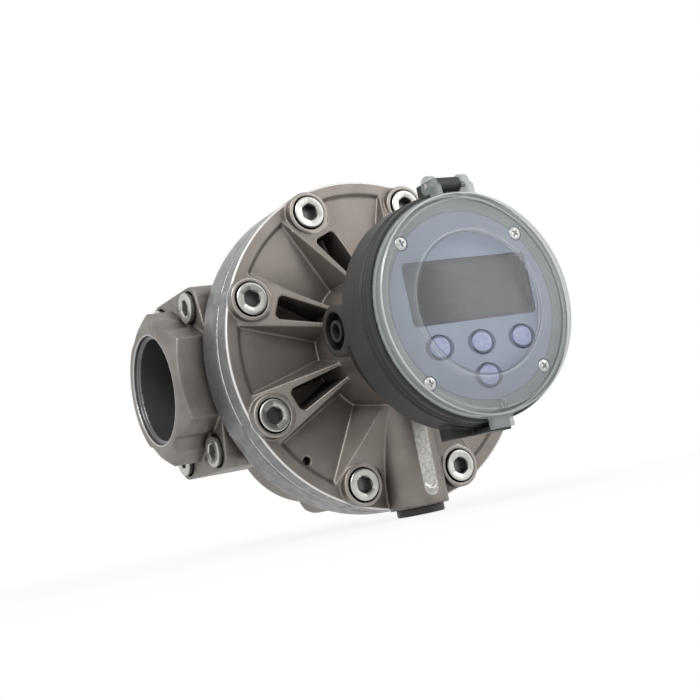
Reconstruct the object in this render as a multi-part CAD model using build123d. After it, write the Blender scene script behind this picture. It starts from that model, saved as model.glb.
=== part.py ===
from build123d import *
import math
import os

# Oval gear flow meter for a 2 inch line, in millimetres.
# X runs along the pipe from the inlet to the outlet, Z is up and the display looks along -Y.
# Every piece is drawn about the middle of the meter, then moved so that the origin is on the pipe's
# axis where the inlet thread starts. A "front" value is a distance in front of that axis, along -Y.

# Ports and their bolted adaptors
face_to_face = 211.0
side_face_span = 142.0
adaptor_plate = 13.5
hex_across_flats = 75.0
hex_chamfer_length = 4.2
port_ring_radius = 35.1
port_mouth_radius = 30.4
port_mouth_depth = 3.0
port_thread_radius = 28.33
port_thread_length = 26.0
passage_radius = 25.0
pad_half_height = 51.0
pad_half_width = 33.0
pad_corner_radius = 8.0
pad_bulge_margin = 0.5
pad_shoulder_height = 43.0
adaptor_screw_y = 22.0
adaptor_screw_z = 40.0
adaptor_screw_length = 30.0
adaptor_counterbore_depth = 7.0
tool_groove_radius = 11.0
adaptor_seal_radius = 29.9
adaptor_seal_cord = 2.2

# M10 socket head screws
screw_radius = 5.0
screw_head_radius = 8.5
screw_head_height = 10.0
screw_socket_flats = 8.0
screw_socket_depth = 5.0
screw_edge = 0.5
screw_clearance = 0.5
counterbore_clearance = 0.6
thread_clearance = 0.05
hole_runout = 2.0

# Rotors, shafts and measuring chamber
shaft_spacing = 60.7
shaft_radius = 6.0
shaft_seat_depth = 9.0
shaft_recess_depth = 4.5
shaft_seat_clearance = 0.02
shaft_end_play = 0.3
rotor_long_radius = 38.0
rotor_mesh_gap = 0.2
rotor_tip_gap = 0.3
rotor_end_gap = 0.3
tooth_count = 38
tooth_depth = 3.2
tooth_tip_share = 0.3
tooth_flank_share = 0.2
bush_wall = 4.0
bush_running_gap = 0.05
bush_seat_clearance = 0.02
washer_thickness = 1.1
washer_clearance = 0.1
washer_pocket_clearance = 0.4
magnet_radius = 3.0
magnet_length = 4.0
magnet_offset = 23.0

# Body casting
chamber_depth = 89.2
joint_front = 62.2
flange_margin = 18.55
flange_thickness = 20.2
housing_wall = 9.2
back_wall = 13.0
back_edge_radius = 7.0
rear_boss_radius = 10.0
rear_boss_length = 22.0
cap_seal_offset = 3.8
cap_seal_cord = 2.76
seal_side_clearance = 0.3
seal_end_clearance = 0.02

# Front cap casting
bolt_edge_distance = 11.0
bolt_count = 8
cap_screw_length = 25.0
rim_height = 11.95
bolt_seat_height = 8.2
boss_radius = 11.5
boss_height = 17.2
spotface_radius = 12.0
sector_floor_height = 10.6
sector_rim_width = 6.7
sector_half_width = 17.5
sector_narrowing = 0.286
rib_flank_draft = 0.307
rim_flank_draft = 1.4
rim_edge = 0.5
web_flank_draft = 0.626
web_rise = 0.335
hub_draft = 3.0
hub_top_radius = 36.0
hub_height = 49.8
hub_wall = 8.0
hub_floor_height = 7.8
hub_overlap = 6.0
pocket_floor_height = 5.8
pocket_rim_distance = 24.0
pocket_outer_half_width = 8.4
pocket_narrowing = 0.15
pocket_corner_radius = 4.0
pocket_draft = 5.0
conduit_axis_height = 17.3
conduit_boss_radius = 16.0
conduit_thread_radius = 9.2
milled_slot_width = 8.4
milled_slot_land = 9.0
milled_slot_depth = 0.6
witness_hole_radius = 2.2
witness_hole_depth = 6.0
witness_hole_x = -57.4
witness_hole_z = -56.1

# Conduit plug
plug_head_radius = 12.85
plug_head_height = 4.1
plug_length = 14.0
plug_washer_thickness = 1.2
plug_washer_radius = 11.6
plug_washer_clearance = 0.2
plug_socket_flats = 10.0
plug_socket_depth = 3.0

# Pick-up board in the hub
board_clearance = 2.0
board_thickness = 1.6
board_height = 6.0
board_post_radius = 3.0
board_post_inset = 7.0
board_wire_hole = 4.0
pickup_size = 4.0
pickup_length = 14.0
pickup_spacing = 26.0
pickup_gap = 0.4
small_screw_radius = 1.25
small_head_radius = 2.5
small_head_height = 1.6
small_screw_length = 6.0
small_screw_clearance = 0.25

# Register housing
gasket_thickness = 1.5
gasket_margin = 1.0
register_overhang = 9.5
register_rear_depth = 24.0
register_depth = 51.1
register_step_out = 12.3
register_wall = 3.5
register_floor = 3.0
register_side_wall = 4.9
register_well_depth = 24.6
register_rear_edge = 2.0
ring_step = 1.2
ring_groove_front = 8.4
ring_groove_width = 1.5
mount_screw_inset = 4.0
mount_screw_radius = 2.0
mount_screw_length = 14.0
mount_head_radius = 3.6
mount_head_height = 2.6
mount_clearance = 0.3
wire_hole_radius = 5.5
cable_boss_back = 14.5
cable_boss_z = 1.0
cable_boss_radius = 12.8
cable_boss_setback = 0.3
cable_boss_edge = 1.5
grommet_bore_radius = 9.3
grommet_bore_depth = 10.0
grommet_nose_radius = 5.4
grommet_nose_length = 5.5
grommet_recess = 0.8
grommet_hole_radius = 3.6
grommet_clearance = 0.05
cable_hole_radius = 4.2

# Electronics stack in the register
facia_post_side_inset = 19.1
facia_post_top_inset = 19.9
facia_post_bottom_inset = 18.3
facia_post_radius = 4.3
facia_post_shoulder = 5.4
circuit_board_margin = 2.1
circuit_board_depth = 14.6
lcd_margin = 1.6
battery_radius = 8.3
battery_length = 48.0
battery_z = -16.0
battery_clip_wall = 1.6
battery_clearance = 0.2

# Facia
bezel_clearance = 0.3
bezel_thickness = 5.5
bezel_proud = 0.9
bezel_border = 6.1
label_thickness = 0.45
label_recess = 0.5
label_clearance = 0.2
window_side_margin = 10.0
window_bottom_z = -7.7
window_top_z = 23.5
window_corner_radius = 2.5
window_ledge = 2.2
window_thickness = 2.9
window_clearance = 0.15
facia_screw_radius = 1.4
facia_screw_length = 14.0
facia_head_radius = 3.5
facia_head_height = 2.2
facia_head_proud = 0.3
facia_head_clearance = 0.3
facia_seal_cord = 1.8
button_row_z = -18.5
button_low_z = -34.9
button_pitch = 24.3
button_width = 11.4
button_height = 11.8
button_clearance = 0.3
button_proud = 0.7
button_crown = 0.8
button_flange = 1.2
button_flange_thickness = 1.2
button_flange_gap = 0.2
button_travel = 0.5
button_stem_radius = 2.0
keypad_thickness = 1.4
keypad_dome_radius = 3.6
keypad_margin = 1.9

# Clear lid, hinge and latch
lid_gap = 0.3
lid_step = 2.0
lid_draft = 0.8
lid_depth = 6.9
lid_plate = 1.9
lid_skirt = 2.5
lid_edge = 1.2
lid_disc_radius = 35.3
lid_disc_height = 0.4
lid_pip_radius = 2.3
lid_pip_inset = 5.0
lid_pip_height = 0.3
hinge_setback = 1.6
hinge_rise = 2.7
hinge_pin_radius = 1.5
hinge_pin_clearance = 0.05
hinge_lug_half_width = 7.0
hinge_lug_radius = 3.9
hinge_lug_length = 15.0
ear_gap = 0.4
ear_thickness = 4.0
ear_radius = 5.0
ear_relief = 0.5
latch_half_width = 18.0
latch_drop = 3.7
latch_back = 24.6
latch_length = 10.0
catch_half_width = 5.0
catch_thickness = 3.0
tab_half_width = 6.0
tab_drop = 3.0
tab_thickness = 4.6

# Places that follow from the sizes above
port_face = face_to_face / 2
side_face = side_face_span / 2
plate_face = side_face + adaptor_plate
chamber_radius = rotor_long_radius + rotor_tip_gap
rotor_short_radius = shaft_spacing - rotor_long_radius - rotor_mesh_gap
shaft_z = shaft_spacing / 2
housing_radius = chamber_radius + housing_wall
cap_seal_radius = chamber_radius + cap_seal_offset
flange_radius = shaft_z + cap_seal_radius + flange_margin
bolt_circle_radius = flange_radius - bolt_edge_distance
sector_outer_radius = flange_radius - sector_rim_width
pocket_outer_radius = flange_radius - pocket_rim_distance
conduit_boss_reach = flange_radius
milled_slot_reach = conduit_boss_reach - milled_slot_land
bush_radius = shaft_radius + bush_wall
chamber_floor = joint_front - chamber_depth
body_back = chamber_floor - back_wall
flange_back = joint_front - flange_thickness
rim_front = joint_front + rim_height
boss_front = joint_front + boss_height
seat_front = joint_front + bolt_seat_height
sector_floor = joint_front + sector_floor_height
hub_front = joint_front + hub_height
hub_floor = joint_front + hub_floor_height
hub_radius = hub_top_radius + hub_draft
hub_bore_radius = hub_top_radius - hub_wall
hub_core = hub_top_radius - hub_overlap
board_post_circle = hub_bore_radius - board_post_inset
mount_screw_circle = hub_top_radius - mount_screw_inset
conduit_front = joint_front + conduit_axis_height
register_rear_radius = hub_top_radius + register_overhang
register_shell_radius = register_rear_radius + register_step_out
register_well_radius = register_shell_radius - register_side_wall
register_back = hub_front + gasket_thickness
register_step = register_back + register_rear_depth
register_front = register_back + register_depth
well_floor = register_front - register_well_depth
circuit_board_radius = register_well_radius - circuit_board_margin
circuit_board_back = register_front - circuit_board_depth
circuit_board_front = circuit_board_back + board_thickness
bezel_front = register_front + bezel_proud
bezel_back = bezel_front - bezel_thickness
bezel_radius = register_well_radius - bezel_clearance
label_radius = bezel_radius - bezel_border
window_half_width = label_radius - window_side_margin
label_back = bezel_front - label_recess
cable_front = register_back + cable_boss_back
cable_boss_reach = register_shell_radius - cable_boss_setback
lid_back = register_front + lid_gap
lid_front = lid_back + lid_depth
lid_rear_radius = register_shell_radius - lid_step
lid_front_radius = lid_rear_radius - lid_draft
lid_pip_z = lid_pip_inset - lid_front_radius
hinge_front = register_front - hinge_setback
hinge_z = register_shell_radius + hinge_rise
latch_bottom_z = -register_shell_radius - latch_drop
tab_bottom_z = -register_shell_radius - tab_drop
screw_hole_radius = screw_radius + screw_clearance
tapped_radius = screw_radius + thread_clearance
counterbore_radius = screw_head_radius + counterbore_clearance

bolt_angles = [360.0 / bolt_count * (k + 0.5) for k in range(bolt_count)]
sector_angles = [360.0 / bolt_count * k for k in range(bolt_count)]
conduit_angle = 270.0
port_signs = (-1, 1)
facia_post_places = [
    (side * (register_well_radius - facia_post_side_inset), z)
    for side in port_signs
    for z in (register_well_radius - facia_post_top_inset, facia_post_bottom_inset - register_well_radius)
]
button_places = {
    "left_button": (-button_pitch, button_row_z),
    "middle_button": (0.0, button_row_z),
    "right_button": (button_pitch, button_row_z),
    "lower_button": (0.0, button_low_z),
}


def facing_front(front):
    """Drawing plane that looks along -Y, with local x along X and local y along Z."""
    return Plane.XZ.offset(front)


def rod(radius, start, end, x=0.0, z=0.0):
    """Round bar that runs from one front value to another."""
    return extrude(facing_front(start) * Pos(x, z) * Circle(radius), amount=end - start)


def ring(outer, inner, start, end, x=0.0, z=0.0):
    return rod(outer, start, end, x, z) - rod(inner, start, end, x, z)


def cross_rod(radius, start, end, front=0.0, z=0.0):
    """Round bar along X."""
    return extrude(Plane.YZ.offset(start) * Pos(-front, z) * Circle(radius), amount=end - start)


def upright_rod(radius, bottom, top, x=0.0, front=0.0):
    """Round bar along Z."""
    return extrude(Plane.XY.offset(bottom) * Pos(x, -front) * Circle(radius), amount=top - bottom)


def block(x_from, x_to, start, end, z_from, z_to):
    """Square block between two front values."""
    size = (x_to - x_from, end - start, z_to - z_from)
    centre = ((x_from + x_to) / 2, -(start + end) / 2, (z_from + z_to) / 2)
    return Pos(*centre) * Box(*size)


def turned(points):
    """Solid of revolution about the front axis, from (radius, front) corners."""
    corners = [(radius, -front) for radius, front in points]
    return revolve(make_face(Polyline(*corners, close=True)), Axis.Y)


def on_circle(radius, angle):
    return radius * math.cos(math.radians(angle)), radius * math.sin(math.radians(angle))


def joined(solids):
    """One node out of several separate solids."""
    return Compound(children=[part.solid() for part in solids])


def placed(shape, x, z, front):
    """Puts a piece that is drawn pointing up local Z so that it points to the front."""
    return facing_front(front) * Pos(x, z) * shape


# Fasteners


def socket_screw(length):
    """Socket head screw whose head stands on the local XY plane."""
    head = Pos(0, 0, screw_head_height / 2) * Cylinder(screw_head_radius, screw_head_height)
    head = chamfer(head.edges().sort_by(Axis.Z)[-1], screw_edge)
    shank = Pos(0, 0, -length / 2) * Cylinder(screw_radius, length)
    shank = chamfer(shank.edges().sort_by(Axis.Z)[0], screw_edge)
    socket_face = RegularPolygon(screw_socket_flats / 2, 6, major_radius=False)
    socket = Pos(0, 0, screw_head_height) * extrude(socket_face, amount=-screw_socket_depth)
    return head + shank - socket


def small_screw(radius, length, head_radius, head_height):
    """Pan head screw with a cross recess, standing on the local XY plane."""
    head = Pos(0, 0, head_height / 2) * Cylinder(head_radius, head_height)
    head = fillet(head.edges().sort_by(Axis.Z)[-1], head_height * 0.4)
    shank = Pos(0, 0, -length / 2) * Cylinder(radius, length)
    arm = Pos(0, 0, head_height) * Box(head_radius, head_radius * 0.25, head_height)
    return head + shank - arm - Rot(0, 0, 90) * arm


def cap_screws():
    screw = socket_screw(cap_screw_length)
    return joined(
        [placed(screw, *on_circle(bolt_circle_radius, angle), seat_front) for angle in bolt_angles]
    )


def adaptor_screws(sign):
    seat = plate_face - adaptor_counterbore_depth
    screw = Rot(0, 90 * sign, 0) * socket_screw(adaptor_screw_length)
    return joined(
        [
            Pos(sign * seat, y, z) * screw
            for y in (-adaptor_screw_y, adaptor_screw_y)
            for z in (-adaptor_screw_z, adaptor_screw_z)
        ]
    )


# Body casting and its adaptors


def pad_outline():
    """Outline of the bolted joint: a block with four ears and a bulge as wide as the hexagon."""
    ears = fillet(Rectangle(2 * pad_half_width, 2 * pad_half_height).vertices(), pad_corner_radius)
    bulge = hex_across_flats / 2 + pad_bulge_margin
    half_bulge = hex_across_flats / 2 / math.sqrt(3)
    side = [(bulge, half_bulge), (pad_half_width, pad_shoulder_height)]
    left = [(-y, z) for y, z in reversed(side)]
    corners = side + left + [(y, -z) for y, z in reversed(left)] + [(y, -z) for y, z in reversed(side)]
    return ears + make_face(Polyline(*corners, close=True))


def lobes(radius, start, end):
    return rod(radius, start, end, z=shaft_z) + rod(radius, start, end, z=-shaft_z)


def seal_outline(radius):
    """Closed path round both lobes of the chamber."""
    left = [(-radius, -shaft_z), (-radius, shaft_z)]
    right = [(radius, shaft_z), (radius, -shaft_z)]
    return [
        Line(*left),
        ThreePointArc((-radius, shaft_z), (0, shaft_z + radius), (radius, shaft_z)),
        Line(*right),
        ThreePointArc((radius, -shaft_z), (0, -shaft_z - radius), (-radius, -shaft_z)),
    ]


def seal_groove():
    half = cap_seal_cord / 2 + seal_side_clearance
    depth = cap_seal_cord + 2 * seal_end_clearance
    outer = make_face(seal_outline(cap_seal_radius + half))
    inner = make_face(seal_outline(cap_seal_radius - half))
    return extrude(facing_front(joint_front - depth) * (outer - inner), amount=depth)


def cap_seal():
    """Round cord that lies in the groove of the body's front face."""
    centre = joint_front - seal_end_clearance - cap_seal_cord / 2
    path = facing_front(centre) * Wire(seal_outline(cap_seal_radius))
    start = Plane(origin=path @ 0, z_dir=path % 0)
    return sweep(start * Circle(cap_seal_cord / 2), path)


def adaptor_seal(sign):
    centre = side_face - seal_end_clearance - adaptor_seal_cord / 2
    return Pos(sign * centre, 0, 0) * Rot(0, 90, 0) * Torus(adaptor_seal_radius, adaptor_seal_cord / 2)


def adaptor_seal_groove(sign):
    depth = adaptor_seal_cord + 2 * seal_end_clearance
    half = adaptor_seal_cord / 2 + seal_side_clearance
    ends = sorted((sign * side_face, sign * (side_face - depth)))
    return cross_rod(adaptor_seal_radius + half, *ends) - cross_rod(adaptor_seal_radius - half, *ends)


def meter_body():
    body = rod(flange_radius, flange_back, joint_front)
    body = chamfer(body.edges().filter_by(GeomType.CIRCLE), rim_edge)
    for z in (-shaft_z, shaft_z):
        lobe = rod(housing_radius, body_back, flange_back, z=z)
        body += fillet(lobe.edges().sort_by(Axis.Y)[-1], back_edge_radius)
    body += extrude(Plane.YZ.offset(-side_face) * pad_outline(), amount=2 * side_face)
    body += block(
        -housing_radius, housing_radius, 0, flange_back, -pad_shoulder_height, pad_shoulder_height
    )
    for angle in bolt_angles:
        x, z = on_circle(bolt_circle_radius, angle)
        if abs(z) > abs(x):
            body += rod(rear_boss_radius, flange_back - rear_boss_length, flange_back, x, z)
    body -= lobes(chamber_radius, chamber_floor, joint_front)
    body -= lobes(shaft_radius + shaft_seat_clearance, chamber_floor - shaft_seat_depth, chamber_floor)
    body -= cross_rod(passage_radius, -side_face, side_face)
    body -= seal_groove()
    cap_hole_end = seat_front - cap_screw_length - hole_runout
    for angle in bolt_angles:
        body -= rod(tapped_radius, cap_hole_end, joint_front, *on_circle(bolt_circle_radius, angle))
    adaptor_hole_end = plate_face - adaptor_counterbore_depth - adaptor_screw_length - hole_runout
    for sign in port_signs:
        body -= adaptor_seal_groove(sign)
        ends = sorted((sign * side_face, sign * adaptor_hole_end))
        for front in (-adaptor_screw_y, adaptor_screw_y):
            for z in (-adaptor_screw_z, adaptor_screw_z):
                body -= cross_rod(tapped_radius, *ends, front, z)
    return body


def inlet_adaptor():
    """Flange plate and threaded hexagon in one piece, with the port's mouth at -X."""
    plate = extrude(Plane.YZ.offset(-plate_face) * pad_outline(), amount=adaptor_plate)
    hexagon = RegularPolygon(hex_across_flats / 2, 6, major_radius=False, rotation=30)
    corner_radius = hex_across_flats / math.sqrt(3)
    nose = [
        (-port_face, 0),
        (-port_face, port_ring_radius),
        (-port_face + hex_chamfer_length, corner_radius),
        (-plate_face, corner_radius),
        (-plate_face, 0),
    ]
    bar = extrude(Plane.YZ.offset(-port_face) * hexagon, amount=port_face - plate_face)
    adaptor = plate + (bar & revolve(make_face(Polyline(*nose, close=True)), Axis.X))
    adaptor -= cross_rod(port_mouth_radius, -port_face, -port_face + port_mouth_depth)
    adaptor -= cross_rod(port_thread_radius, -port_face, -port_face + port_thread_length)
    adaptor -= cross_rod(passage_radius, -port_face, -side_face)
    for front in (-adaptor_screw_y, adaptor_screw_y):
        for z in (-adaptor_screw_z, adaptor_screw_z):
            adaptor -= cross_rod(tool_groove_radius, -port_face, -plate_face, front, z)
            adaptor -= cross_rod(
                counterbore_radius, -plate_face, -plate_face + adaptor_counterbore_depth, front, z
            )
            adaptor -= cross_rod(screw_hole_radius, -plate_face, -side_face, front, z)
    return adaptor


# Front cap with its ribs, hub and conduit boss


def flank(half_width, draft, front, along):
    """Distance of a rib's side from the middle line of the sector beside it."""
    outer_end = sector_outer_radius * math.cos(math.radians(12))
    return half_width - sector_narrowing * (outer_end - along) + draft * (front - sector_floor)


def sector_outline(front, left_draft, right_draft):
    """Outline of the sunk sector at one height, along local X, with a leaning side on each hand."""
    inner = hub_core
    outer = sector_outer_radius + rim_flank_draft * (front - rim_front)
    left_in = flank(sector_half_width, left_draft, front, inner)
    right_in = flank(sector_half_width, right_draft, front, inner)
    left_out = flank(sector_half_width, left_draft, front, outer)
    right_out = flank(sector_half_width, right_draft, front, outer)
    left_x = math.sqrt(outer**2 - left_out**2)
    right_x = math.sqrt(outer**2 - right_out**2)
    rim = ThreePointArc((right_x, -right_out), (outer, 0), (left_x, left_out))
    sides = Polyline((left_x, left_out), (inner, left_in), (inner, -right_in), (right_x, -right_out))
    return make_face([*rim.edges(), *sides.edges()])


def sunk_sector(angle):
    """Cutter for the hollow between two bolts, which is wider at the top than at its floor."""
    beside_conduit = abs(abs(angle - conduit_angle) - 360.0 / bolt_count) < 1
    on_left = beside_conduit and angle < conduit_angle
    on_right = beside_conduit and angle > conduit_angle
    drafts = (
        web_flank_draft if on_left else rib_flank_draft,
        web_flank_draft if on_right else rib_flank_draft,
    )
    top = joint_front + 2 * boss_height
    turn = Rot(0, 0, angle)
    bottom_face = facing_front(sector_floor) * turn * sector_outline(sector_floor, *drafts)
    top_face = facing_front(top) * turn * sector_outline(top, *drafts)
    return loft([bottom_face, top_face], ruled=True)


def rib_pocket(angle):
    """Cutter for the hollow inside a bolt's web, which leaves one rib on each side of it."""
    inner_half_width = pocket_outer_half_width - pocket_narrowing * (pocket_outer_radius - hub_core)
    outline = Polyline(
        (hub_core, -inner_half_width),
        (pocket_outer_radius, -pocket_outer_half_width),
        (pocket_outer_radius, pocket_outer_half_width),
        (hub_core, inner_half_width),
        close=True,
    )
    face = make_face(outline)
    outer_corners = face.vertices().sort_by(Axis.X)[-2:]
    face = fillet(outer_corners, pocket_corner_radius)
    bottom = joint_front + pocket_floor_height
    top = joint_front + 2 * boss_height
    return extrude(facing_front(top) * Rot(0, 0, angle) * face, amount=bottom - top, taper=pocket_draft)


def cone_front(radius):
    """Height of the webs at a radius: they rise from the rim to the hub."""
    return rim_front + web_rise * (sector_outer_radius - radius)


def front_cap():
    cap = turned(
        [
            (0, joint_front),
            (flange_radius - rim_edge, joint_front),
            (flange_radius, joint_front + rim_edge),
            (flange_radius, rim_front - rim_edge),
            (flange_radius - rim_edge, rim_front),
            (sector_outer_radius, rim_front),
            (hub_core, cone_front(hub_core)),
            (0, cone_front(hub_core)),
        ]
    )
    for angle in sector_angles:
        if angle != conduit_angle:
            cap -= sunk_sector(angle)
    for angle in bolt_angles:
        x, z = on_circle(bolt_circle_radius, angle)
        cap += rod(boss_radius, joint_front, boss_front, x, z)
        if abs(angle - conduit_angle) > 360.0 / bolt_count:
            cap -= rib_pocket(angle)
    cap += turned([(0, joint_front), (hub_radius, joint_front), (hub_radius, sector_floor),
                   (hub_top_radius, hub_front), (0, hub_front)])
    cap += upright_rod(conduit_boss_radius, -conduit_boss_reach, 0, front=conduit_front) & block(
        -conduit_boss_radius, conduit_boss_radius, joint_front, hub_front, -conduit_boss_reach, 0
    )
    for angle in bolt_angles:
        x, z = on_circle(bolt_circle_radius, angle)
        cap -= rod(spotface_radius, boss_front, hub_front, x, z)
        cap -= rod(counterbore_radius, seat_front, boss_front, x, z)
        cap -= rod(screw_hole_radius, joint_front, seat_front, x, z)
    slot_front = conduit_front + conduit_boss_radius - milled_slot_depth
    slot_end = -milled_slot_reach + milled_slot_width / 2
    cap -= block(
        -milled_slot_width / 2, milled_slot_width / 2, slot_front, hub_front, slot_end, -hub_radius
    )
    cap -= rod(milled_slot_width / 2, slot_front, hub_front, 0, slot_end)
    cap -= rod(hub_bore_radius, hub_floor, hub_front)
    cap -= upright_rod(conduit_thread_radius, -conduit_boss_reach, 0, front=conduit_front)
    cap -= upright_rod(
        plug_washer_radius + plug_washer_clearance,
        -conduit_boss_reach,
        -conduit_boss_reach + plug_washer_thickness,
        front=conduit_front,
    )
    cap -= rod(
        witness_hole_radius, sector_floor - witness_hole_depth, sector_floor, witness_hole_x, witness_hole_z
    )
    cap -= lobes(shaft_radius + shaft_seat_clearance, joint_front, joint_front + shaft_recess_depth)
    board_back = hub_floor + board_height
    for x, z in board_posts():
        cap += rod(board_post_radius, hub_floor, board_back, x, z)
        cap -= rod(small_screw_radius + thread_clearance, hub_floor, board_back, x, z)
    for x, z in mount_screw_places():
        end = register_back + register_floor - mount_screw_length - hole_runout
        cap -= rod(mount_screw_radius + thread_clearance, end, hub_front, x, z)
    return cap


def conduit_plug():
    """Blanking plug of the cable conduit, with its washer under the head."""
    head = upright_rod(
        plug_head_radius, -conduit_boss_reach - plug_head_height, -conduit_boss_reach, front=conduit_front
    )
    head = chamfer(head.edges().sort_by(Axis.Z)[0], screw_edge)
    shank = upright_rod(
        conduit_thread_radius - thread_clearance,
        -conduit_boss_reach,
        -conduit_boss_reach + plug_length,
        front=conduit_front,
    )
    socket = extrude(
        Plane.XY.offset(-conduit_boss_reach - plug_head_height)
        * Pos(0, -conduit_front)
        * RegularPolygon(plug_socket_flats / 2, 6, major_radius=False),
        amount=plug_socket_depth,
    )
    return head + shank - socket


def conduit_plug_washer():
    ends = (-conduit_boss_reach, -conduit_boss_reach + plug_washer_thickness)
    outer = upright_rod(plug_washer_radius, *ends, front=conduit_front)
    return outer - upright_rod(conduit_thread_radius, *ends, front=conduit_front)


# Rotors


def tip_radius(angle):
    """Oval envelope of the tooth tips: two of them a quarter turn apart roll with no overlap."""
    total = rotor_long_radius + rotor_short_radius
    flatness = (rotor_long_radius - rotor_short_radius) / total
    mean = 2 * rotor_long_radius * rotor_short_radius / total
    return mean / (1 - flatness * math.cos(2 * angle))


def angles_along_oval(steps):
    """Angles that split the oval into steps of equal length along its edge."""
    fine = 4000
    lengths = [0.0]
    last = (tip_radius(0), 0.0)
    for k in range(1, fine + 1):
        angle = 2 * math.pi * k / fine
        radius = tip_radius(angle)
        point = (radius * math.cos(angle), radius * math.sin(angle))
        lengths.append(lengths[-1] + math.dist(last, point))
        last = point
    found = []
    k = 0
    for step in range(steps):
        wanted = lengths[-1] * step / steps
        while lengths[k + 1] <= wanted:
            k += 1
        part = (wanted - lengths[k]) / (lengths[k + 1] - lengths[k])
        found.append(2 * math.pi * (k + part) / fine)
    return found


def toothed_oval():
    """Rotor outline with its long axis along local X and a tooth at each end of it."""
    slots = 20
    half_tip = round(slots * tooth_tip_share / 2)
    half_root = half_tip + round(slots * tooth_flank_share)
    angles = angles_along_oval(tooth_count * slots)
    points = []
    for tooth in range(tooth_count):
        for offset, depth in (
            (-half_root, tooth_depth),
            (-half_tip, 0.0),
            (half_tip, 0.0),
            (half_root, tooth_depth),
        ):
            angle = angles[(tooth * slots + offset) % len(angles)]
            radius = tip_radius(angle) - depth
            points.append((radius * math.cos(angle), radius * math.sin(angle)))
    return make_face(Polyline(*points, close=True))


def oval_gear(z, turn):
    back = chamber_floor + rotor_end_gap
    front = joint_front - rotor_end_gap
    outline = facing_front(back) * Pos(0, z) * Rot(0, 0, turn) * toothed_oval()
    gear = extrude(outline, amount=front - back)
    gear -= rod(bush_radius + bush_seat_clearance, back, front, z=z)
    pocket = bush_radius + washer_pocket_clearance
    gear -= rod(pocket, back, chamber_floor + washer_thickness + washer_clearance, z=z)
    gear -= rod(pocket, joint_front - washer_thickness - washer_clearance, front, z=z)
    for x, dz in magnet_places(turn):
        gear -= rod(magnet_radius + shaft_seat_clearance, front - magnet_length, front, x, z + dz)
    return gear


def magnet_places(turn):
    return [on_circle(magnet_offset, turn + half) for half in (0, 180)]


def gear_magnets(z, turn):
    front = joint_front - rotor_end_gap
    return joined(
        [rod(magnet_radius, front - magnet_length, front, x, z + dz) for x, dz in magnet_places(turn)]
    )


def gear_bush(z):
    start = chamber_floor + washer_thickness + washer_clearance
    end = joint_front - washer_thickness - washer_clearance
    return ring(bush_radius, shaft_radius + bush_running_gap, start, end, z=z)


def rotor_shaft(z):
    start = chamber_floor - shaft_seat_depth + shaft_end_play
    end = joint_front + shaft_recess_depth - shaft_end_play
    shaft = rod(shaft_radius, start, end, z=z)
    return chamfer(shaft.edges().filter_by(GeomType.CIRCLE), screw_edge)


def thrust_washers():
    inner = shaft_radius + washer_clearance
    return joined(
        [
            ring(bush_radius, inner, start, start + washer_thickness, z=z)
            for z in (-shaft_z, shaft_z)
            for start in (chamber_floor, joint_front - washer_thickness)
        ]
    )


# Pick-up board in the hub


def board_posts():
    return [on_circle(board_post_circle, angle) for angle in (30, 150, 270)]


def sensor_board():
    back = hub_floor + board_height
    front = back + board_thickness
    board = rod(hub_bore_radius - board_clearance, back, front) - rod(board_wire_hole, back, front)
    for x, z in board_posts():
        board -= rod(small_screw_radius + small_screw_clearance, back, front, x, z)
    return board


def sensor_board_screws():
    screw = small_screw(small_screw_radius, small_screw_length, small_head_radius, small_head_height)
    seat = hub_floor + board_height + board_thickness
    return joined([placed(screw, x, z, seat) for x, z in board_posts()])


def pickup_sensors():
    """Two reed capsules under the board, one over each rotor's magnets."""
    front = hub_floor + board_height
    capsule = Rot(0, 90, 0) * Cylinder(pickup_size / 2, pickup_length)
    middle = front - pickup_gap - pickup_size / 2
    return joined([placed(capsule, 0, side * pickup_spacing / 2, middle) for side in port_signs])


# Register housing and what it holds


def mount_screw_places():
    return [on_circle(mount_screw_circle, angle) for angle in (0, 90, 180, 270)]


def register_gasket():
    gasket = ring(hub_top_radius - gasket_margin, hub_bore_radius + gasket_margin, hub_front, register_back)
    for x, z in mount_screw_places():
        gasket -= rod(mount_screw_radius + mount_clearance, hub_front, register_back, x, z)
    return gasket


def register_outline():
    """Half section of the housing's outside, from the back to the ringed front edge."""
    groove_start = register_front - ring_groove_front
    groove_end = groove_start + ring_groove_width
    second_start = groove_end + ring_groove_width
    second_end = second_start + ring_groove_width
    shell = register_shell_radius
    return [
        (0, register_back),
        (register_rear_radius - register_rear_edge, register_back),
        (register_rear_radius, register_back + register_rear_edge),
        (register_rear_radius, register_step - register_rear_edge),
        (shell - register_rear_edge, register_step),
        (shell, register_step + register_rear_edge),
        (shell, groove_start),
        (shell - ring_step, groove_start),
        (shell - ring_step, groove_end),
        (shell - ring_step / 3, groove_end),
        (shell - ring_step / 3, second_start),
        (shell - ring_step, second_start),
        (shell - ring_step, second_end),
        (shell - ring_step / 2, second_end),
        (shell - ring_step / 2, register_front),
        (0, register_front),
    ]


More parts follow.
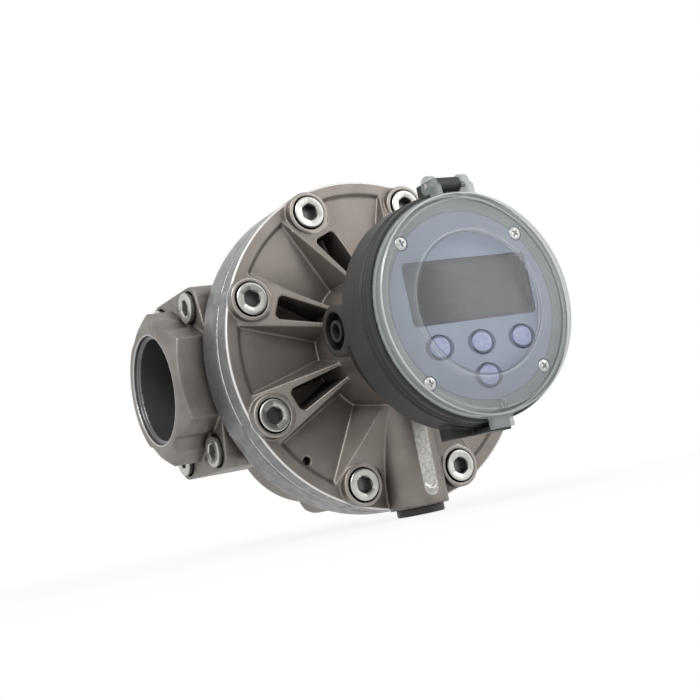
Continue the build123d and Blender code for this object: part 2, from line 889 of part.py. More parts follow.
def register_housing():
    """Moulded housing with the cable boss, hinge lug and latch ledge on it."""
    housing = turned(register_outline())
    boss = cross_rod(cable_boss_radius, -cable_boss_reach, 0, cable_front, cable_boss_z)
    housing += fillet(boss.edges().sort_by(Axis.X)[0], cable_boss_edge)
    housing += block(
        -hinge_lug_half_width,
        hinge_lug_half_width,
        hinge_front - hinge_lug_length,
        hinge_front,
        register_rear_radius,
        hinge_z + hinge_lug_radius,
    )
    lug_ends = (-hinge_lug_half_width, hinge_lug_half_width)
    housing += cross_rod(hinge_lug_radius, *lug_ends, hinge_front, hinge_z)
    latch_start = register_front - latch_back
    housing += block(
        -latch_half_width,
        latch_half_width,
        latch_start,
        latch_start + latch_length,
        latch_bottom_z,
        -register_rear_radius,
    )
    housing += block(
        -catch_half_width,
        catch_half_width,
        latch_start,
        register_front,
        latch_bottom_z,
        latch_bottom_z + catch_thickness,
    )
    housing -= rod(register_rear_radius - register_wall, register_back + register_floor, well_floor)
    housing -= rod(register_well_radius, well_floor, register_front)
    for x, z in facia_post_places:
        post = rod(facia_post_shoulder, well_floor, circuit_board_back, x, z)
        post += rod(facia_post_radius, circuit_board_back, bezel_back, x, z)
        housing += post & rod(register_shell_radius - ring_step, well_floor, register_front)
        housing -= rod(facia_screw_radius + thread_clearance, screw_end(), bezel_back, x, z)
    for x, z in mount_screw_places():
        housing -= rod(
            mount_screw_radius + mount_clearance, register_back, register_back + register_floor, x, z
        )
    housing -= rod(wire_hole_radius, register_back, register_back + register_floor)
    bore_end = -cable_boss_reach + grommet_bore_depth
    housing -= cross_rod(grommet_bore_radius, -cable_boss_reach, bore_end, cable_front, cable_boss_z)
    housing -= cross_rod(cable_hole_radius, bore_end, 0, cable_front, cable_boss_z)
    housing -= cross_rod(hinge_pin_radius, *lug_ends, hinge_front, hinge_z)
    for sign in port_signs:
        ends = sorted(
            (
                sign * hinge_lug_half_width,
                sign * (hinge_lug_half_width + 2 * ear_gap + ear_thickness),
            )
        )
        housing -= cross_rod(ear_radius + ear_relief, *ends, hinge_front, hinge_z)
    return housing


def screw_end():
    return bezel_front + facia_head_proud - facia_head_height - facia_screw_length - hole_runout


def register_mount_screws():
    screw = small_screw(mount_screw_radius, mount_screw_length, mount_head_radius, mount_head_height)
    seat = register_back + register_floor
    return joined([placed(screw, x, z, seat) for x, z in mount_screw_places()])


def cable_grommet():
    """Rubber sleeve that grips the cable, with its nose a little inside the boss."""
    bore_end = -cable_boss_reach + grommet_bore_depth
    nose_tip = -cable_boss_reach + grommet_recess
    shoulder = nose_tip + grommet_nose_length
    middle = (cable_front, cable_boss_z)
    grommet = cross_rod(grommet_bore_radius - grommet_clearance, shoulder, bore_end, *middle)
    grommet += cross_rod(grommet_nose_radius, nose_tip, shoulder, *middle)
    return grommet - cross_rod(grommet_hole_radius, nose_tip, bore_end, *middle)


def battery_place():
    return register_back + register_floor + battery_clip_wall + battery_radius + battery_clearance


def battery():
    half = battery_length / 2
    cell = cross_rod(battery_radius, -half, half, battery_place(), battery_z)
    nub = cross_rod(battery_radius / 4, half, half + battery_clip_wall / 2, battery_place(), battery_z)
    return cell + nub


def battery_clip():
    """Cradle of the cell, open to the front."""
    back = register_back + register_floor
    half = battery_length / 2 + battery_clip_wall
    reach = half + battery_clip_wall
    width = battery_radius + battery_clip_wall
    cradle = block(-reach, reach, back, battery_place(), battery_z - width, battery_z + width)
    return cradle - cross_rod(battery_radius + battery_clearance, -half, half, battery_place(), battery_z)


def circuit_board():
    board = rod(circuit_board_radius, circuit_board_back, circuit_board_front)
    for x, z in facia_post_places:
        board -= rod(facia_post_radius + mount_clearance, circuit_board_back, circuit_board_front, x, z)
    return board


def lcd_module():
    margin = lcd_margin
    module = block(
        -window_half_width - margin,
        window_half_width + margin,
        circuit_board_front,
        bezel_back - button_flange_gap,
        window_bottom_z - margin,
        window_top_z + margin,
    )
    glass_front = label_back - window_thickness - window_clearance
    outline = window_outline(-window_ledge - window_clearance)
    return module + slab(outline, bezel_back - button_flange_gap, glass_front)


def window_outline(growth):
    """Rounded window, larger by the growth on every side."""
    width = 2 * (window_half_width + growth)
    height = window_top_z - window_bottom_z + 2 * growth
    return Pos(0, (window_top_z + window_bottom_z) / 2) * RectangleRounded(
        width, height, window_corner_radius
    )


def slab(outline, start, end):
    return extrude(facing_front(start) * outline, amount=end - start)


def button_outline(growth):
    return Ellipse(button_width / 2 + growth, button_height / 2 + growth)


def facia_bezel():
    bezel = rod(bezel_radius, bezel_back, bezel_front)
    bezel = chamfer(bezel.edges().sort_by(Axis.Y)[0], screw_edge)
    bezel -= rod(label_radius + label_clearance, label_back, bezel_front)
    bezel -= slab(window_outline(0), label_back - window_thickness, label_back)
    bezel -= slab(window_outline(-window_ledge), bezel_back, label_back)
    for x, z in button_places.values():
        bezel -= slab(Pos(x, z) * button_outline(button_clearance), bezel_back, label_back)
    for x, z in facia_post_places:
        head_seat = bezel_front + facia_head_proud - facia_head_height
        bezel -= rod(facia_head_radius + facia_head_clearance, head_seat, bezel_front, x, z)
        bezel -= rod(facia_screw_radius + small_screw_clearance, bezel_back, head_seat, x, z)
    half = facia_seal_cord / 2 + seal_end_clearance
    side = half + seal_side_clearance
    middle = (bezel_back + label_back) / 2
    return bezel - ring(bezel_radius, register_well_radius - 2 * half, middle - side, middle + side)


def facia_seal():
    middle = (bezel_back + label_back) / 2
    radius = register_well_radius - seal_end_clearance - facia_seal_cord / 2
    return facing_front(middle) * Torus(radius, facia_seal_cord / 2)


def facia_label():
    """Printed disc, cut out for the window, the buttons and the screws at its edge."""
    front = label_back + label_thickness
    label = rod(label_radius, label_back, front)
    label -= slab(window_outline(-window_clearance), label_back, front)
    for x, z in button_places.values():
        label -= slab(Pos(x, z) * button_outline(button_clearance), label_back, front)
    for x, z in facia_post_places:
        label -= rod(facia_head_radius + facia_head_clearance, label_back, front, x, z)
    return label


def window_lens():
    return slab(window_outline(-window_clearance), label_back - window_thickness, label_back)


def facia_screws():
    screw = small_screw(facia_screw_radius, facia_screw_length, facia_head_radius, facia_head_height)
    seat = bezel_front + facia_head_proud - facia_head_height
    return joined([placed(screw, x, z, seat) for x, z in facia_post_places])


def button(x, z):
    """Oval key with a flange behind the facia and a stem down to the mat's dome."""
    flange_front = bezel_back - button_flange_gap
    flange_back = flange_front - button_flange_thickness
    top = label_back + label_thickness + button_proud
    key = slab(Pos(x, z) * button_outline(0), flange_front, top)
    key = fillet(key.edges().sort_by(Axis.Y)[0], button_crown)
    key += slab(Pos(x, z) * button_outline(button_flange), flange_back, flange_front)
    dome_top = keypad_dome_front()
    return key + rod(button_stem_radius, dome_top + button_travel + button_flange_gap, flange_back, x, z)


def keypad_dome_front():
    stem = (bezel_back - circuit_board_front) / 2
    return circuit_board_front + stem - button_travel


def keypad_mat():
    """Silicone mat on the board with one dome under each key."""
    front = circuit_board_front + keypad_thickness
    reach = keypad_dome_radius + keypad_margin
    mat = block(
        -button_pitch - reach,
        button_pitch + reach,
        circuit_board_front,
        front,
        button_row_z - reach,
        button_row_z + reach,
    )
    mat += block(-reach, reach, circuit_board_front, front, button_low_z - reach, button_row_z)
    for x, z in button_places.values():
        mat += rod(keypad_dome_radius, front, keypad_dome_front(), x, z)
    return mat


# Clear lid


def hinge_pin():
    half = hinge_lug_half_width + ear_gap + ear_thickness
    return cross_rod(hinge_pin_radius, -half, half, hinge_front, hinge_z)


def lid_ear(start, end):
    """Ear round the hinge pin, joined to the lid's top edge by an arm in front of the housing."""
    disc = cross_rod(ear_radius, start, end, hinge_front, hinge_z)
    arm = make_face(
        Polyline(
            (-hinge_front, hinge_z + ear_radius),
            (-lid_front + lid_edge, hinge_z - 2),
            (-lid_front + lid_edge, lid_rear_radius - lid_skirt),
            (-lid_back, lid_rear_radius - lid_skirt),
            (-lid_back, hinge_z - ear_radius),
            (-hinge_front, hinge_z - ear_radius),
            close=True,
        )
    )
    return disc + extrude(Plane.YZ.offset(start) * arm, amount=end - start)


def clear_lid():
    """Moulded cover with a skirt, a raised disc, two hinge ears and a latch tab."""
    face = lid_front - lid_disc_height
    inner_front = lid_radius_at(face) - lid_skirt
    lid = turned(
        [
            (0, face - lid_plate),
            (inner_front, face - lid_plate),
            (lid_rear_radius - lid_skirt, lid_back),
            (lid_rear_radius, lid_back),
            (lid_front_radius + 0.1, face - lid_edge),
            (lid_front_radius - lid_edge, face),
            (lid_disc_radius, face),
            (lid_disc_radius, lid_front),
            (0, lid_front),
        ]
    )
    lid += rod(lid_pip_radius, face, face + lid_pip_height, z=lid_pip_z)
    near = hinge_lug_half_width + ear_gap
    far = near + ear_thickness
    lid += lid_ear(near, far)
    lid += lid_ear(-far, -near)
    tab_root = lid_skirt - lid_rear_radius
    lid += block(
        -tab_half_width, tab_half_width, lid_back, lid_back + tab_thickness, tab_bottom_z, tab_root
    )
    return lid - cross_rod(hinge_pin_radius + hinge_pin_clearance, -far, far, hinge_front, hinge_z)


def lid_radius_at(front):
    share = (front - lid_back) / lid_depth
    return lid_rear_radius + (lid_front_radius - lid_rear_radius) * share


pieces = {
    "meter_body": meter_body(),
    "inlet_port_adaptor": inlet_adaptor(),
    "outlet_port_adaptor": mirror(inlet_adaptor(), about=Plane.YZ),
    "inlet_adaptor_seal": adaptor_seal(-1),
    "outlet_adaptor_seal": adaptor_seal(1),
    "inlet_adaptor_screws": adaptor_screws(-1),
    "outlet_adaptor_screws": adaptor_screws(1),
    "front_cap": front_cap(),
    "cap_seal": cap_seal(),
    "cap_screws": cap_screws(),
    "upper_rotor_shaft": rotor_shaft(shaft_z),
    "lower_rotor_shaft": rotor_shaft(-shaft_z),
    "upper_oval_gear": oval_gear(shaft_z, 0),
    "lower_oval_gear": oval_gear(-shaft_z, 90),
    "upper_gear_bush": gear_bush(shaft_z),
    "lower_gear_bush": gear_bush(-shaft_z),
    "upper_gear_magnets": gear_magnets(shaft_z, 0),
    "lower_gear_magnets": gear_magnets(-shaft_z, 90),
    "thrust_washers": thrust_washers(),
    "sensor_board": sensor_board(),
    "pickup_sensors": pickup_sensors(),
    "sensor_board_screws": sensor_board_screws(),
    "conduit_plug": conduit_plug(),
    "conduit_plug_washer": conduit_plug_washer(),
    "register_gasket": register_gasket(),
    "register_housing": register_housing(),
    "register_mount_screws": register_mount_screws(),
    "cable_grommet": cable_grommet(),
    "circuit_board": circuit_board(),
    "battery": battery(),
    "battery_clip": battery_clip(),
    "lcd_module": lcd_module(),
    "facia_bezel": facia_bezel(),
    "facia_label": facia_label(),
    "window_lens": window_lens(),
    "facia_screws": facia_screws(),
    "keypad_mat": keypad_mat(),
    "facia_seal": facia_seal(),
    "hinge_pin": hinge_pin(),
    "clear_lid": clear_lid(),
}
for name, place in button_places.items():
    pieces[name] = button(*place)

os.makedirs("parts", exist_ok=True)
for name, piece in pieces.items():
    export_step(Pos(port_face - port_mouth_depth, 0, 0) * piece, "parts/" + name + ".step")
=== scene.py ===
import math
import bmesh
import bpy
import numpy as np
from mathutils import Matrix, Vector


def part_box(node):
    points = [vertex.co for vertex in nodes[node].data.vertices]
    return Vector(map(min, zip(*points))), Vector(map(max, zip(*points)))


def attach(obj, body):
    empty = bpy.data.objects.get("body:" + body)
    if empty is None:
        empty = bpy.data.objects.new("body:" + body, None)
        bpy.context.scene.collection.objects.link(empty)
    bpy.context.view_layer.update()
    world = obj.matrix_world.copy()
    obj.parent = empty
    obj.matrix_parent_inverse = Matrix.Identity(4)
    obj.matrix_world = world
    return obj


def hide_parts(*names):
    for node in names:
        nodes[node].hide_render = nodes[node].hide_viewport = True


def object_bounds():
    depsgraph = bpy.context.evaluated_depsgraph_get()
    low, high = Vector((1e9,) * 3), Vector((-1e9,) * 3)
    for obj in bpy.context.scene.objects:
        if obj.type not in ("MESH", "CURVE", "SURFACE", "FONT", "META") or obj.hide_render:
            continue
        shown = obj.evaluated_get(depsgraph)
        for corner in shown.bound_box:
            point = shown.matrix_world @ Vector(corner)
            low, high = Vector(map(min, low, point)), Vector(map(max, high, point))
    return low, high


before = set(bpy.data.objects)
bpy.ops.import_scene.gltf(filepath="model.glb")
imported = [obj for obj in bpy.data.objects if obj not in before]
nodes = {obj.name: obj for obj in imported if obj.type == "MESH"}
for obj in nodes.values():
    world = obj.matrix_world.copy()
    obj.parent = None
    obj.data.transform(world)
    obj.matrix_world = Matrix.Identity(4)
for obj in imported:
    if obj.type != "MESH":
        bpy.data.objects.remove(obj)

# Oval gear flow meter. X runs along the pipe, -Y is the front where the display is, Z is up.
# Places below are in millimetres from the meter's middle: x, front (along -Y) and z.
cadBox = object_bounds()
mm = 0.001
middleX = 0.1025         # the meter's middle in the frame, in metres
capBolts = {"circle": 80.0, "count": 8, "firstAngle": 22.5, "seat": 70.4, "length": 25.0}


def linear(hexColour):   # sRGB hex to the linear values of a colour socket
    parts = [int(hexColour[i:i + 2], 16) / 255 for i in (1, 3, 5)]
    return (*[c / 12.92 if c <= 0.04045 else ((c + 0.055) / 1.055) ** 2.4 for c in parts], 1.0)


def addNode(tree, kind, settings=None, links=None):
    node = tree.nodes.new(kind)
    for name, value in (settings or {}).items():
        if isinstance(name, str) and hasattr(node, name):
            setattr(node, name, value)
        else:
            node.inputs[name].default_value = value
    for name, source in (links or {}).items():
        tree.links.new(source, node.inputs[name])
    return node


# Places on the meter, as nodes: each function gives a socket

def distanceFrom(tree, place, axis):     # from the meter's middle line along that axis, in mm
    across = {"X": (0, 1, 1), "Y": (1, 0, 1), "Z": (1, 1, 0)}[axis]
    flat = addNode(tree, "ShaderNodeVectorMath", {"operation": "MULTIPLY", 1: across}, {0: place})
    length = addNode(tree, "ShaderNodeVectorMath", {"operation": "LENGTH"}, {0: flat.outputs[0]})
    return length.outputs["Value"]


def boltDistance(tree, place):           # from the nearest of the cap's bolts, in mm
    parts = addNode(tree, "ShaderNodeSeparateXYZ", None, {0: place})
    angle = addNode(tree, "ShaderNodeMath", {"operation": "ARCTAN2"},
                    {0: parts.outputs["Z"], 1: parts.outputs["X"]}).outputs[0]
    step = 2 * math.pi / capBolts["count"]
    turned = addNode(tree, "ShaderNodeMath", {"operation": "SUBTRACT", 1: step / 2}, {0: angle}).outputs[0]
    ahead = addNode(tree, "ShaderNodeMath", {"operation": "ADD", 1: step / 2}, {0: turned}).outputs[0]
    nearest = addNode(tree, "ShaderNodeMath", {"operation": "SNAP", 1: step}, {0: ahead}).outputs[0]
    folded = addNode(tree, "ShaderNodeMath", {"operation": "SUBTRACT"}, {0: turned, 1: nearest}).outputs[0]
    radius = distanceFrom(tree, place, "Y")
    legs = {}
    for name, operation in (("X", "COSINE"), ("Y", "SINE")):
        wave = addNode(tree, "ShaderNodeMath", {"operation": operation}, {0: folded}).outputs[0]
        legs[name] = addNode(tree, "ShaderNodeMath", {"operation": "MULTIPLY"},
                             {0: wave, 1: radius}).outputs[0]
    local = addNode(tree, "ShaderNodeCombineXYZ", None, legs)
    centred = addNode(tree, "ShaderNodeVectorMath", {"operation": "SUBTRACT", 1: (capBolts["circle"], 0, 0)},
                      {0: local.outputs[0]})
    length = addNode(tree, "ShaderNodeVectorMath", {"operation": "LENGTH"}, {0: centred.outputs[0]})
    return length.outputs["Value"]


# A finish gives the sizes of its patterns, patch, grain and pitch, and their depths in mm. Grit, moulding
# grain and turning lines are 0.1 to 0.3 mm in life, too fine to show, so they are drawn coarser.
# A span is the part of a noise's or a hollow's 0 to 1 that goes from none to full.
spans = {"patches": (0.38, 0.62), "grain": (0.3, 0.7), "stain": (0.4, 0.62), "hollow": (0.25, 0.85)}
surfaceDetail = {"toolGloss": 0.06, "edgeHighlightAmount": 0.65, "hollowSamples": 6}


def addSurface(name, values, zone=None, paint=None):
    # zone gives a 0 to 1 socket where values["machined"] takes over, paint changes the colour socket
    material = bpy.data.materials.new(name)
    material.use_nodes = True
    tree = material.node_tree
    shader = tree.nodes["Principled BSDF"]
    for socket, value in values.get("sockets", {}).items():
        shader.inputs[socket].default_value = value
    shader.inputs["Metallic"].default_value = values["metallic"]
    objectPlace = addNode(tree, "ShaderNodeTexCoord").outputs["Object"]
    centred = addNode(tree, "ShaderNodeVectorMath", {"operation": "SUBTRACT", 1: (middleX, 0, 0)},
                      {0: objectPlace})
    place = addNode(tree, "ShaderNodeVectorMath", {"operation": "SCALE", "Scale": 1 / mm},
                    {0: centred.outputs[0]}).outputs[0]
    patches = addNode(tree, "ShaderNodeTexNoise", {"Scale": 1 / values["patch"], "Detail": 3.0},
                      {"Vector": place}).outputs[0]
    low, high = spans["patches"]
    spread = addNode(tree, "ShaderNodeMapRange", {"From Min": low, "From Max": high},
                     {"Value": patches}).outputs[0]
    colour = addNode(tree, "ShaderNodeMix", {"data_type": "RGBA", 6: linear(values["colour"]),
                                             7: linear(values["shade"])}, {0: spread}).outputs[2]
    height = addNode(tree, "ShaderNodeTexNoise", {"Scale": 1 / values["grain"], "Detail": 2.0},
                     {"Vector": place}).outputs[0]
    relief = addNode(tree, "ShaderNodeMath", {"operation": "MULTIPLY", 1: values["grainDepth"] * mm},
                     {0: height}).outputs[0]
    low, high = spans["grain"]
    roughness = addNode(tree, "ShaderNodeMapRange", {"From Min": low, "From Max": high,
                                                     "To Min": values["roughness"] - values["roughSpread"],
                                                     "To Max": values["roughness"] + values["roughSpread"]},
                        {"Value": height}).outputs[0]
    if values.get("machined"):
        tool = values["machined"]
        line = addNode(tree, "ShaderNodeCombineXYZ", None, {
            "X": distanceFrom(tree, place, tool["axis"]),
            "Y": addNode(tree, "ShaderNodeSeparateXYZ", None, {0: place}).outputs[tool["axis"]]}).outputs[0]
        marks = addNode(tree, "ShaderNodeTexNoise", {"Scale": 1 / tool["pitch"], "Detail": 1.0},
                        {"Vector": line}).outputs[0]
        stain = addNode(tree, "ShaderNodeTexNoise", {"Scale": 1 / tool["patch"], "Detail": 4.0},
                        {"Vector": place}).outputs[0]
        mask = zone(tree, place)
        low, high = spans["stain"]
        stained = addNode(tree, "ShaderNodeMapRange", {"From Min": low, "From Max": high},
                          {"Value": stain}).outputs[0]
        metal = addNode(tree, "ShaderNodeMix", {"data_type": "RGBA", 6: linear(tool["colour"]),
                                                7: linear(tool["shade"])}, {0: stained}).outputs[2]
        cut = addNode(tree, "ShaderNodeMath", {"operation": "MULTIPLY", 1: tool["depth"] * mm},
                      {0: marks}).outputs[0]
        low, high = spans["grain"]
        gloss = addNode(tree, "ShaderNodeMapRange",
                        {"From Min": low, "From Max": high,
                         "To Min": tool["roughness"] - surfaceDetail["toolGloss"],
                         "To Max": tool["roughness"] + surfaceDetail["toolGloss"]},
                        {"Value": stain}).outputs[0]
        colour = addNode(tree, "ShaderNodeMix", {"data_type": "RGBA"},
                         {0: mask, 6: colour, 7: metal}).outputs[2]
        relief = addNode(tree, "ShaderNodeMix", None, {0: mask, 2: relief, 3: cut}).outputs[0]
        roughness = addNode(tree, "ShaderNodeMix", None, {0: mask, 2: roughness, 3: gloss}).outputs[0]
    if values.get("paintedShade"):             # painted shade: darkens the hollows by ambient occlusion
        hollow = addNode(tree, "ShaderNodeAmbientOcclusion",
                         {"samples": surfaceDetail["hollowSamples"],
                          "Distance": values["paintedShadeReach"] * mm}).outputs["AO"]
        low, high = spans["hollow"]
        amount = addNode(tree, "ShaderNodeMapRange", {"From Min": low, "From Max": high,
                                                      "To Min": values["paintedShadeAmount"], "To Max": 0.0},
                         {"Value": hollow}).outputs[0]
        colour = addNode(tree, "ShaderNodeMix", {"data_type": "RGBA", 7: linear(values["paintedShade"])},
                         {0: amount, 6: colour}).outputs[2]
    if values.get("edgeHighlight"):               # painted highlight: brightens sharp edges by their pointiness
        edge = addNode(tree, "ShaderNodeNewGeometry").outputs["Pointiness"]
        amount = addNode(tree, "ShaderNodeMapRange",
                         {"From Min": values["edgeHighlightFrom"], "From Max": values["edgeHighlightTo"],
                          "To Max": surfaceDetail["edgeHighlightAmount"]}, {"Value": edge}).outputs[0]
        colour = addNode(tree, "ShaderNodeMix", {"data_type": "RGBA", 7: linear(values["edgeHighlight"])},
                         {0: amount, 6: colour}).outputs[2]
    if paint:
        colour = paint(tree, place, colour, shader)
    bump = addNode(tree, "ShaderNodeBump", {"Strength": 1.0, "Distance": 1.0}, {"Height": relief})
    tree.links.new(colour, shader.inputs["Base Color"])
    tree.links.new(roughness, shader.inputs["Roughness"])
    tree.links.new(bump.outputs[0], shader.inputs["Normal"])
    return material


# Making pieces

def addPiece(name, mesh, materials, body, replaced):
    mesh.materials.clear()
    for material in materials:
        mesh.materials.append(material)
    piece = bpy.data.objects.new(name, mesh)
    bpy.context.scene.collection.objects.link(piece)
    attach(piece, body)
    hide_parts(*replaced)
    return piece


def settled(piece):      # the piece's mesh with its modifiers worked in
    graph = bpy.context.evaluated_depsgraph_get()
    mesh = bpy.data.meshes.new_from_object(piece.evaluated_get(graph))
    piece.modifiers.clear()
    piece.data = mesh
    return mesh


# Rebuilding: weld distance and snap reach in mm, flat angle in degrees
rebuild = {"weld": 0.002, "flatAngle": 0.3, "snapReach": 0.1, "softenFactor": 0.5}


def snapRound(points, axis, centre, radii, ends):
    # brings the points that lie by a turned face onto it, so that the model's flats don't show
    side = {"X": (1, 2), "Y": (0, 2), "Z": (0, 1)}[axis]
    along = {"X": points[:, 0], "Y": -points[:, 1], "Z": points[:, 2]}[axis]
    first = points[:, side[0]] - centre[0]
    second = points[:, side[1]] - centre[1]
    distance = np.hypot(first, second)
    share = (along - ends[0]) / (ends[1] - ends[0])
    radius = radii[0] + (radii[1] - radii[0]) * share
    near = (np.abs(distance - radius) < rebuild["snapReach"]) & (share > 0) & (share < 1)
    factor = np.where(near, radius / np.maximum(distance, 1e-6), 1.0)
    points[:, side[0]] = centre[0] + first * factor
    points[:, side[1]] = centre[1] + second * factor


def squareCorner(points, radius, offset, floor, reach):
    # brings the rounded corner of a bore of two lobes, above and below the middle, back to its wall and floor
    aside, front, up = points[:, 0], -points[:, 1], points[:, 2]
    centre = np.sign(up) * offset
    distance = np.hypot(aside, up - centre)
    toWall, toFloor = radius - distance, front - floor
    inside = -rebuild["snapReach"]
    corner = (toWall > inside) & (toWall < reach) & (toFloor > inside) & (toFloor < reach)
    flat = corner & (toFloor < toWall)
    factor = np.where(corner & ~flat, radius / np.maximum(distance, 1e-6), 1.0)
    points[:, 1] = np.where(flat, -floor, points[:, 1])
    points[:, 0] = aside * factor
    points[:, 2] = centre + (up - centre) * factor


def moveMesh(mesh, move, rows):          # runs move on the mesh's points, in mm from the meter's middle
    points = np.empty(len(mesh.vertices) * 3)
    mesh.vertices.foreach_get("co", points)
    points = (points.reshape(-1, 3) - (middleX, 0, 0)) / mm
    for row in rows:
        move(points, *row)
    mesh.vertices.foreach_set("co", (points * mm + (middleX, 0, 0)).ravel())
    mesh.update()


def softenedMesh(node, values):
    # rebuilds a CAD node in small cells, which rounds every edge as casting and moulding do
    mesh = nodes[node].data.copy()
    work = bmesh.new()
    work.from_mesh(mesh)
    bmesh.ops.remove_doubles(work, verts=work.verts, dist=rebuild["weld"] * mm)
    bmesh.ops.dissolve_limit(work, angle_limit=math.radians(rebuild["flatAngle"]), verts=work.verts,
                             edges=work.edges, use_dissolve_boundaries=False)
    work.to_mesh(mesh)
    work.free()
    if mesh.attributes.get("custom_normal"):
        mesh.attributes.remove(mesh.attributes["custom_normal"])
    draft = bpy.data.objects.new("draft", mesh)
    bpy.context.scene.collection.objects.link(draft)
    cells = draft.modifiers.new("cells", "REMESH")
    cells.mode = "VOXEL"
    cells.voxel_size = values["cell"] * mm
    cells.use_smooth_shade = True
    mesh = settled(draft)
    moveMesh(mesh, snapRound, values["turned"])
    soften = draft.modifiers.new("soften", "SMOOTH")
    soften.factor = rebuild["softenFactor"]
    soften.iterations = values["soften"]
    thin = draft.modifiers.new("thin", "DECIMATE")
    thin.ratio = values["share"]
    draft.modifiers.new("evenFlats", "WEIGHTED_NORMAL")      # large flats keep one even reflection
    mesh = settled(draft)
    moveMesh(mesh, squareCorner, values.get("squared", ()))
    bpy.data.objects.remove(draft)
    mesh.calc_loop_triangles()
    print("softened", node, len(mesh.loop_triangles))
    return mesh


def anglesOf(steps):
    return np.arange(steps) * 2 * math.pi / steps


def loftMesh(name, rings, steps, placings, sharp=35.0):
    # rings are (height, radius or radii); each placing is a matrix in mm about the meter's middle
    angles = anglesOf(steps)
    rows = []
    for height, radius in rings:
        reach = np.broadcast_to(radius, (steps,))
        rows.append(np.column_stack([reach * np.cos(angles), reach * np.sin(angles), np.full(steps, height)]))
    shape = np.vstack(rows)
    points, faces = [], []
    for placing in placings:
        base = len(points) * len(shape)
        matrix = np.array(placing)
        points.append(((shape @ matrix[:3, :3].T + matrix[:3, 3]) * mm) + (middleX, 0, 0))
        for ring in range(len(rings) - 1):
            low, high = base + ring * steps, base + (ring + 1) * steps
            for k in range(steps):
                after = (k + 1) % steps
                faces.append((low + k, low + after, high + after, high + k))
        faces.append([base + k for k in reversed(range(steps))])
        top = base + (len(rings) - 1) * steps
        faces.append([top + k for k in range(steps)])
    mesh = bpy.data.meshes.new(name)
    mesh.from_pydata(np.vstack(points).tolist(), [], faces)
    mesh.shade_smooth()
    mesh.set_sharp_from_angle(angle=math.radians(sharp))
    return mesh


def polygonRadius(steps, sides, flats):          # distance to the side of a regular polygon
    step = 2 * math.pi / sides
    return flats / 2 / np.cos((anglesOf(steps) + step / 2) % step - step / 2)


def facing(direction, x, front, z):      # placing that turns a shape's own up to "front", "left" or "right"
    turn = {"front": Matrix.Rotation(math.pi / 2, 4, "X"), "left": Matrix.Rotation(-math.pi / 2, 4, "Y"),
            "right": Matrix.Rotation(math.pi / 2, 4, "Y")}[direction]
    return Matrix.Translation((x, -front, z)) @ turn


# Castings: stainless steel, cast and bead blasted. The eye sees a warm grey, dull and finely grained, with
# painted shade, darker and browner, in the hollows, painted highlights on sharp edges, and cut faces that are
# brighter, smoother and show turning lines.
castStainless = {
    "colour": "#88817b", "shade": "#817a74", "patch": 14.0, "metallic": 0.75,
    "roughness": 0.44, "roughSpread": 0.06,
    "grain": 0.7, "grainDepth": 0.035,   # real grit marks are about 0.2 mm, drawn coarser so that they show
    # painted shade: a brown that darkens the hollows
    "paintedShade": "#372e2a", "paintedShadeReach": 14.0, "paintedShadeAmount": 0.8,
    # painted highlight on sharp edges
    "edgeHighlight": "#c9c3bc", "edgeHighlightFrom": 0.53, "edgeHighlightTo": 0.6,
    "machined": {"axis": "Y", "colour": "#7b7c7d", "shade": "#6e6f71", "patch": 5.0, "pitch": 0.5,
                 "depth": 0.01, "roughness": 0.3},
}
# A turned face is its axis, its centre across it, its radius at each end and the ends along it
castings = {
    "front_cap": {
        "name": "capCasting", "slot": "cap_casting", "cell": 0.5, "soften": 4, "share": 0.2,
        "turned": [("Y", (0, 0), (91, 91), (62.9, 73.5)), ("Y", (0, 0), (39, 36), (64, 112)),
                   ("Z", (0, -79.5), (16, 16), (-90.5, -38))]},
    "meter_body": {
        "name": "bodyCasting", "slot": "body_casting", "cell": 0.8, "soften": 3, "share": 0.25,
        "turned": [("Y", (0, 0), (91, 91), (42.8, 61.6)), ("Y", (0, 30.35), (47.5, 47.5), (-32, 42)),
                   ("Y", (0, -30.35), (47.5, 47.5), (-32, 42))],
        "squared": [(38.3, 30.35, -27.0, 2.5)]},     # the chamber: its rotors run 0.3 mm from wall and floor
    "inlet_port_adaptor": {
        "name": "inletCasting", "slot": "adaptor_casting", "cell": 0.6, "soften": 3, "share": 0.4,
        "turned": [("X", (0, 0), (35.1, 35.1), (-105.5, -100)), ("X", (0, 0), (28.33, 28.33), (-102, -77))]},
    "outlet_port_adaptor": {
        "name": "outletCasting", "slot": "adaptor_casting", "cell": 0.6, "soften": 3, "share": 0.4,
        "turned": [("X", (0, 0), (35.1, 35.1), (100, 105.5)), ("X", (0, 0), (28.33, 28.33), (77, 102))]},
}
# Cut faces. Each pair is where a face's mask starts and where it is full, in mm
cutFaces = {
    "rimRadius": (90.5, 90.65), "boreRadius": (31.0, 30.7),
    "flatHalfWidth": (4.4, 4.2), "flatY": (-94.3, -94.5), "flatEnd": 82.0,
    "flatColour": "#bbbbb7", "flatShade": "#a2a19c", "speckle": 1.8, "speckleSpan": (0.4, 0.6),
    # painted highlights: bright lines at the cap and body joint, the cap's front edge and the body's back
    # edge
    "rimHighlightY": ((-62.2, 0.5), (-73.75, 0.4), (-42.3, 0.3)),         # middle and half width
    "rimHighlightFade": 0.1, "rimHighlightRadius": (89.8, 90.1), "rimHighlightColour": "#dedddb",
    "bossRadius": (11.8, 11.3), "bossY": (-78.9, -79.1), "bossColour": "#b3aea8", "bossAmount": 0.45,
    # painted highlight: a bright ring at the port's mouth
    "mouthRadius": (31.5, 31.2), "mouthX": (104.8, 105.1), "mouthHighlightColour": "#bcbcbd",
}


def rimZone(tree, place):        # the turned edge of the cap and the body
    start, full = cutFaces["rimRadius"]
    return addNode(tree, "ShaderNodeMapRange", {"From Min": start, "From Max": full},
                   {"Value": distanceFrom(tree, place, "Y")}).outputs[0]


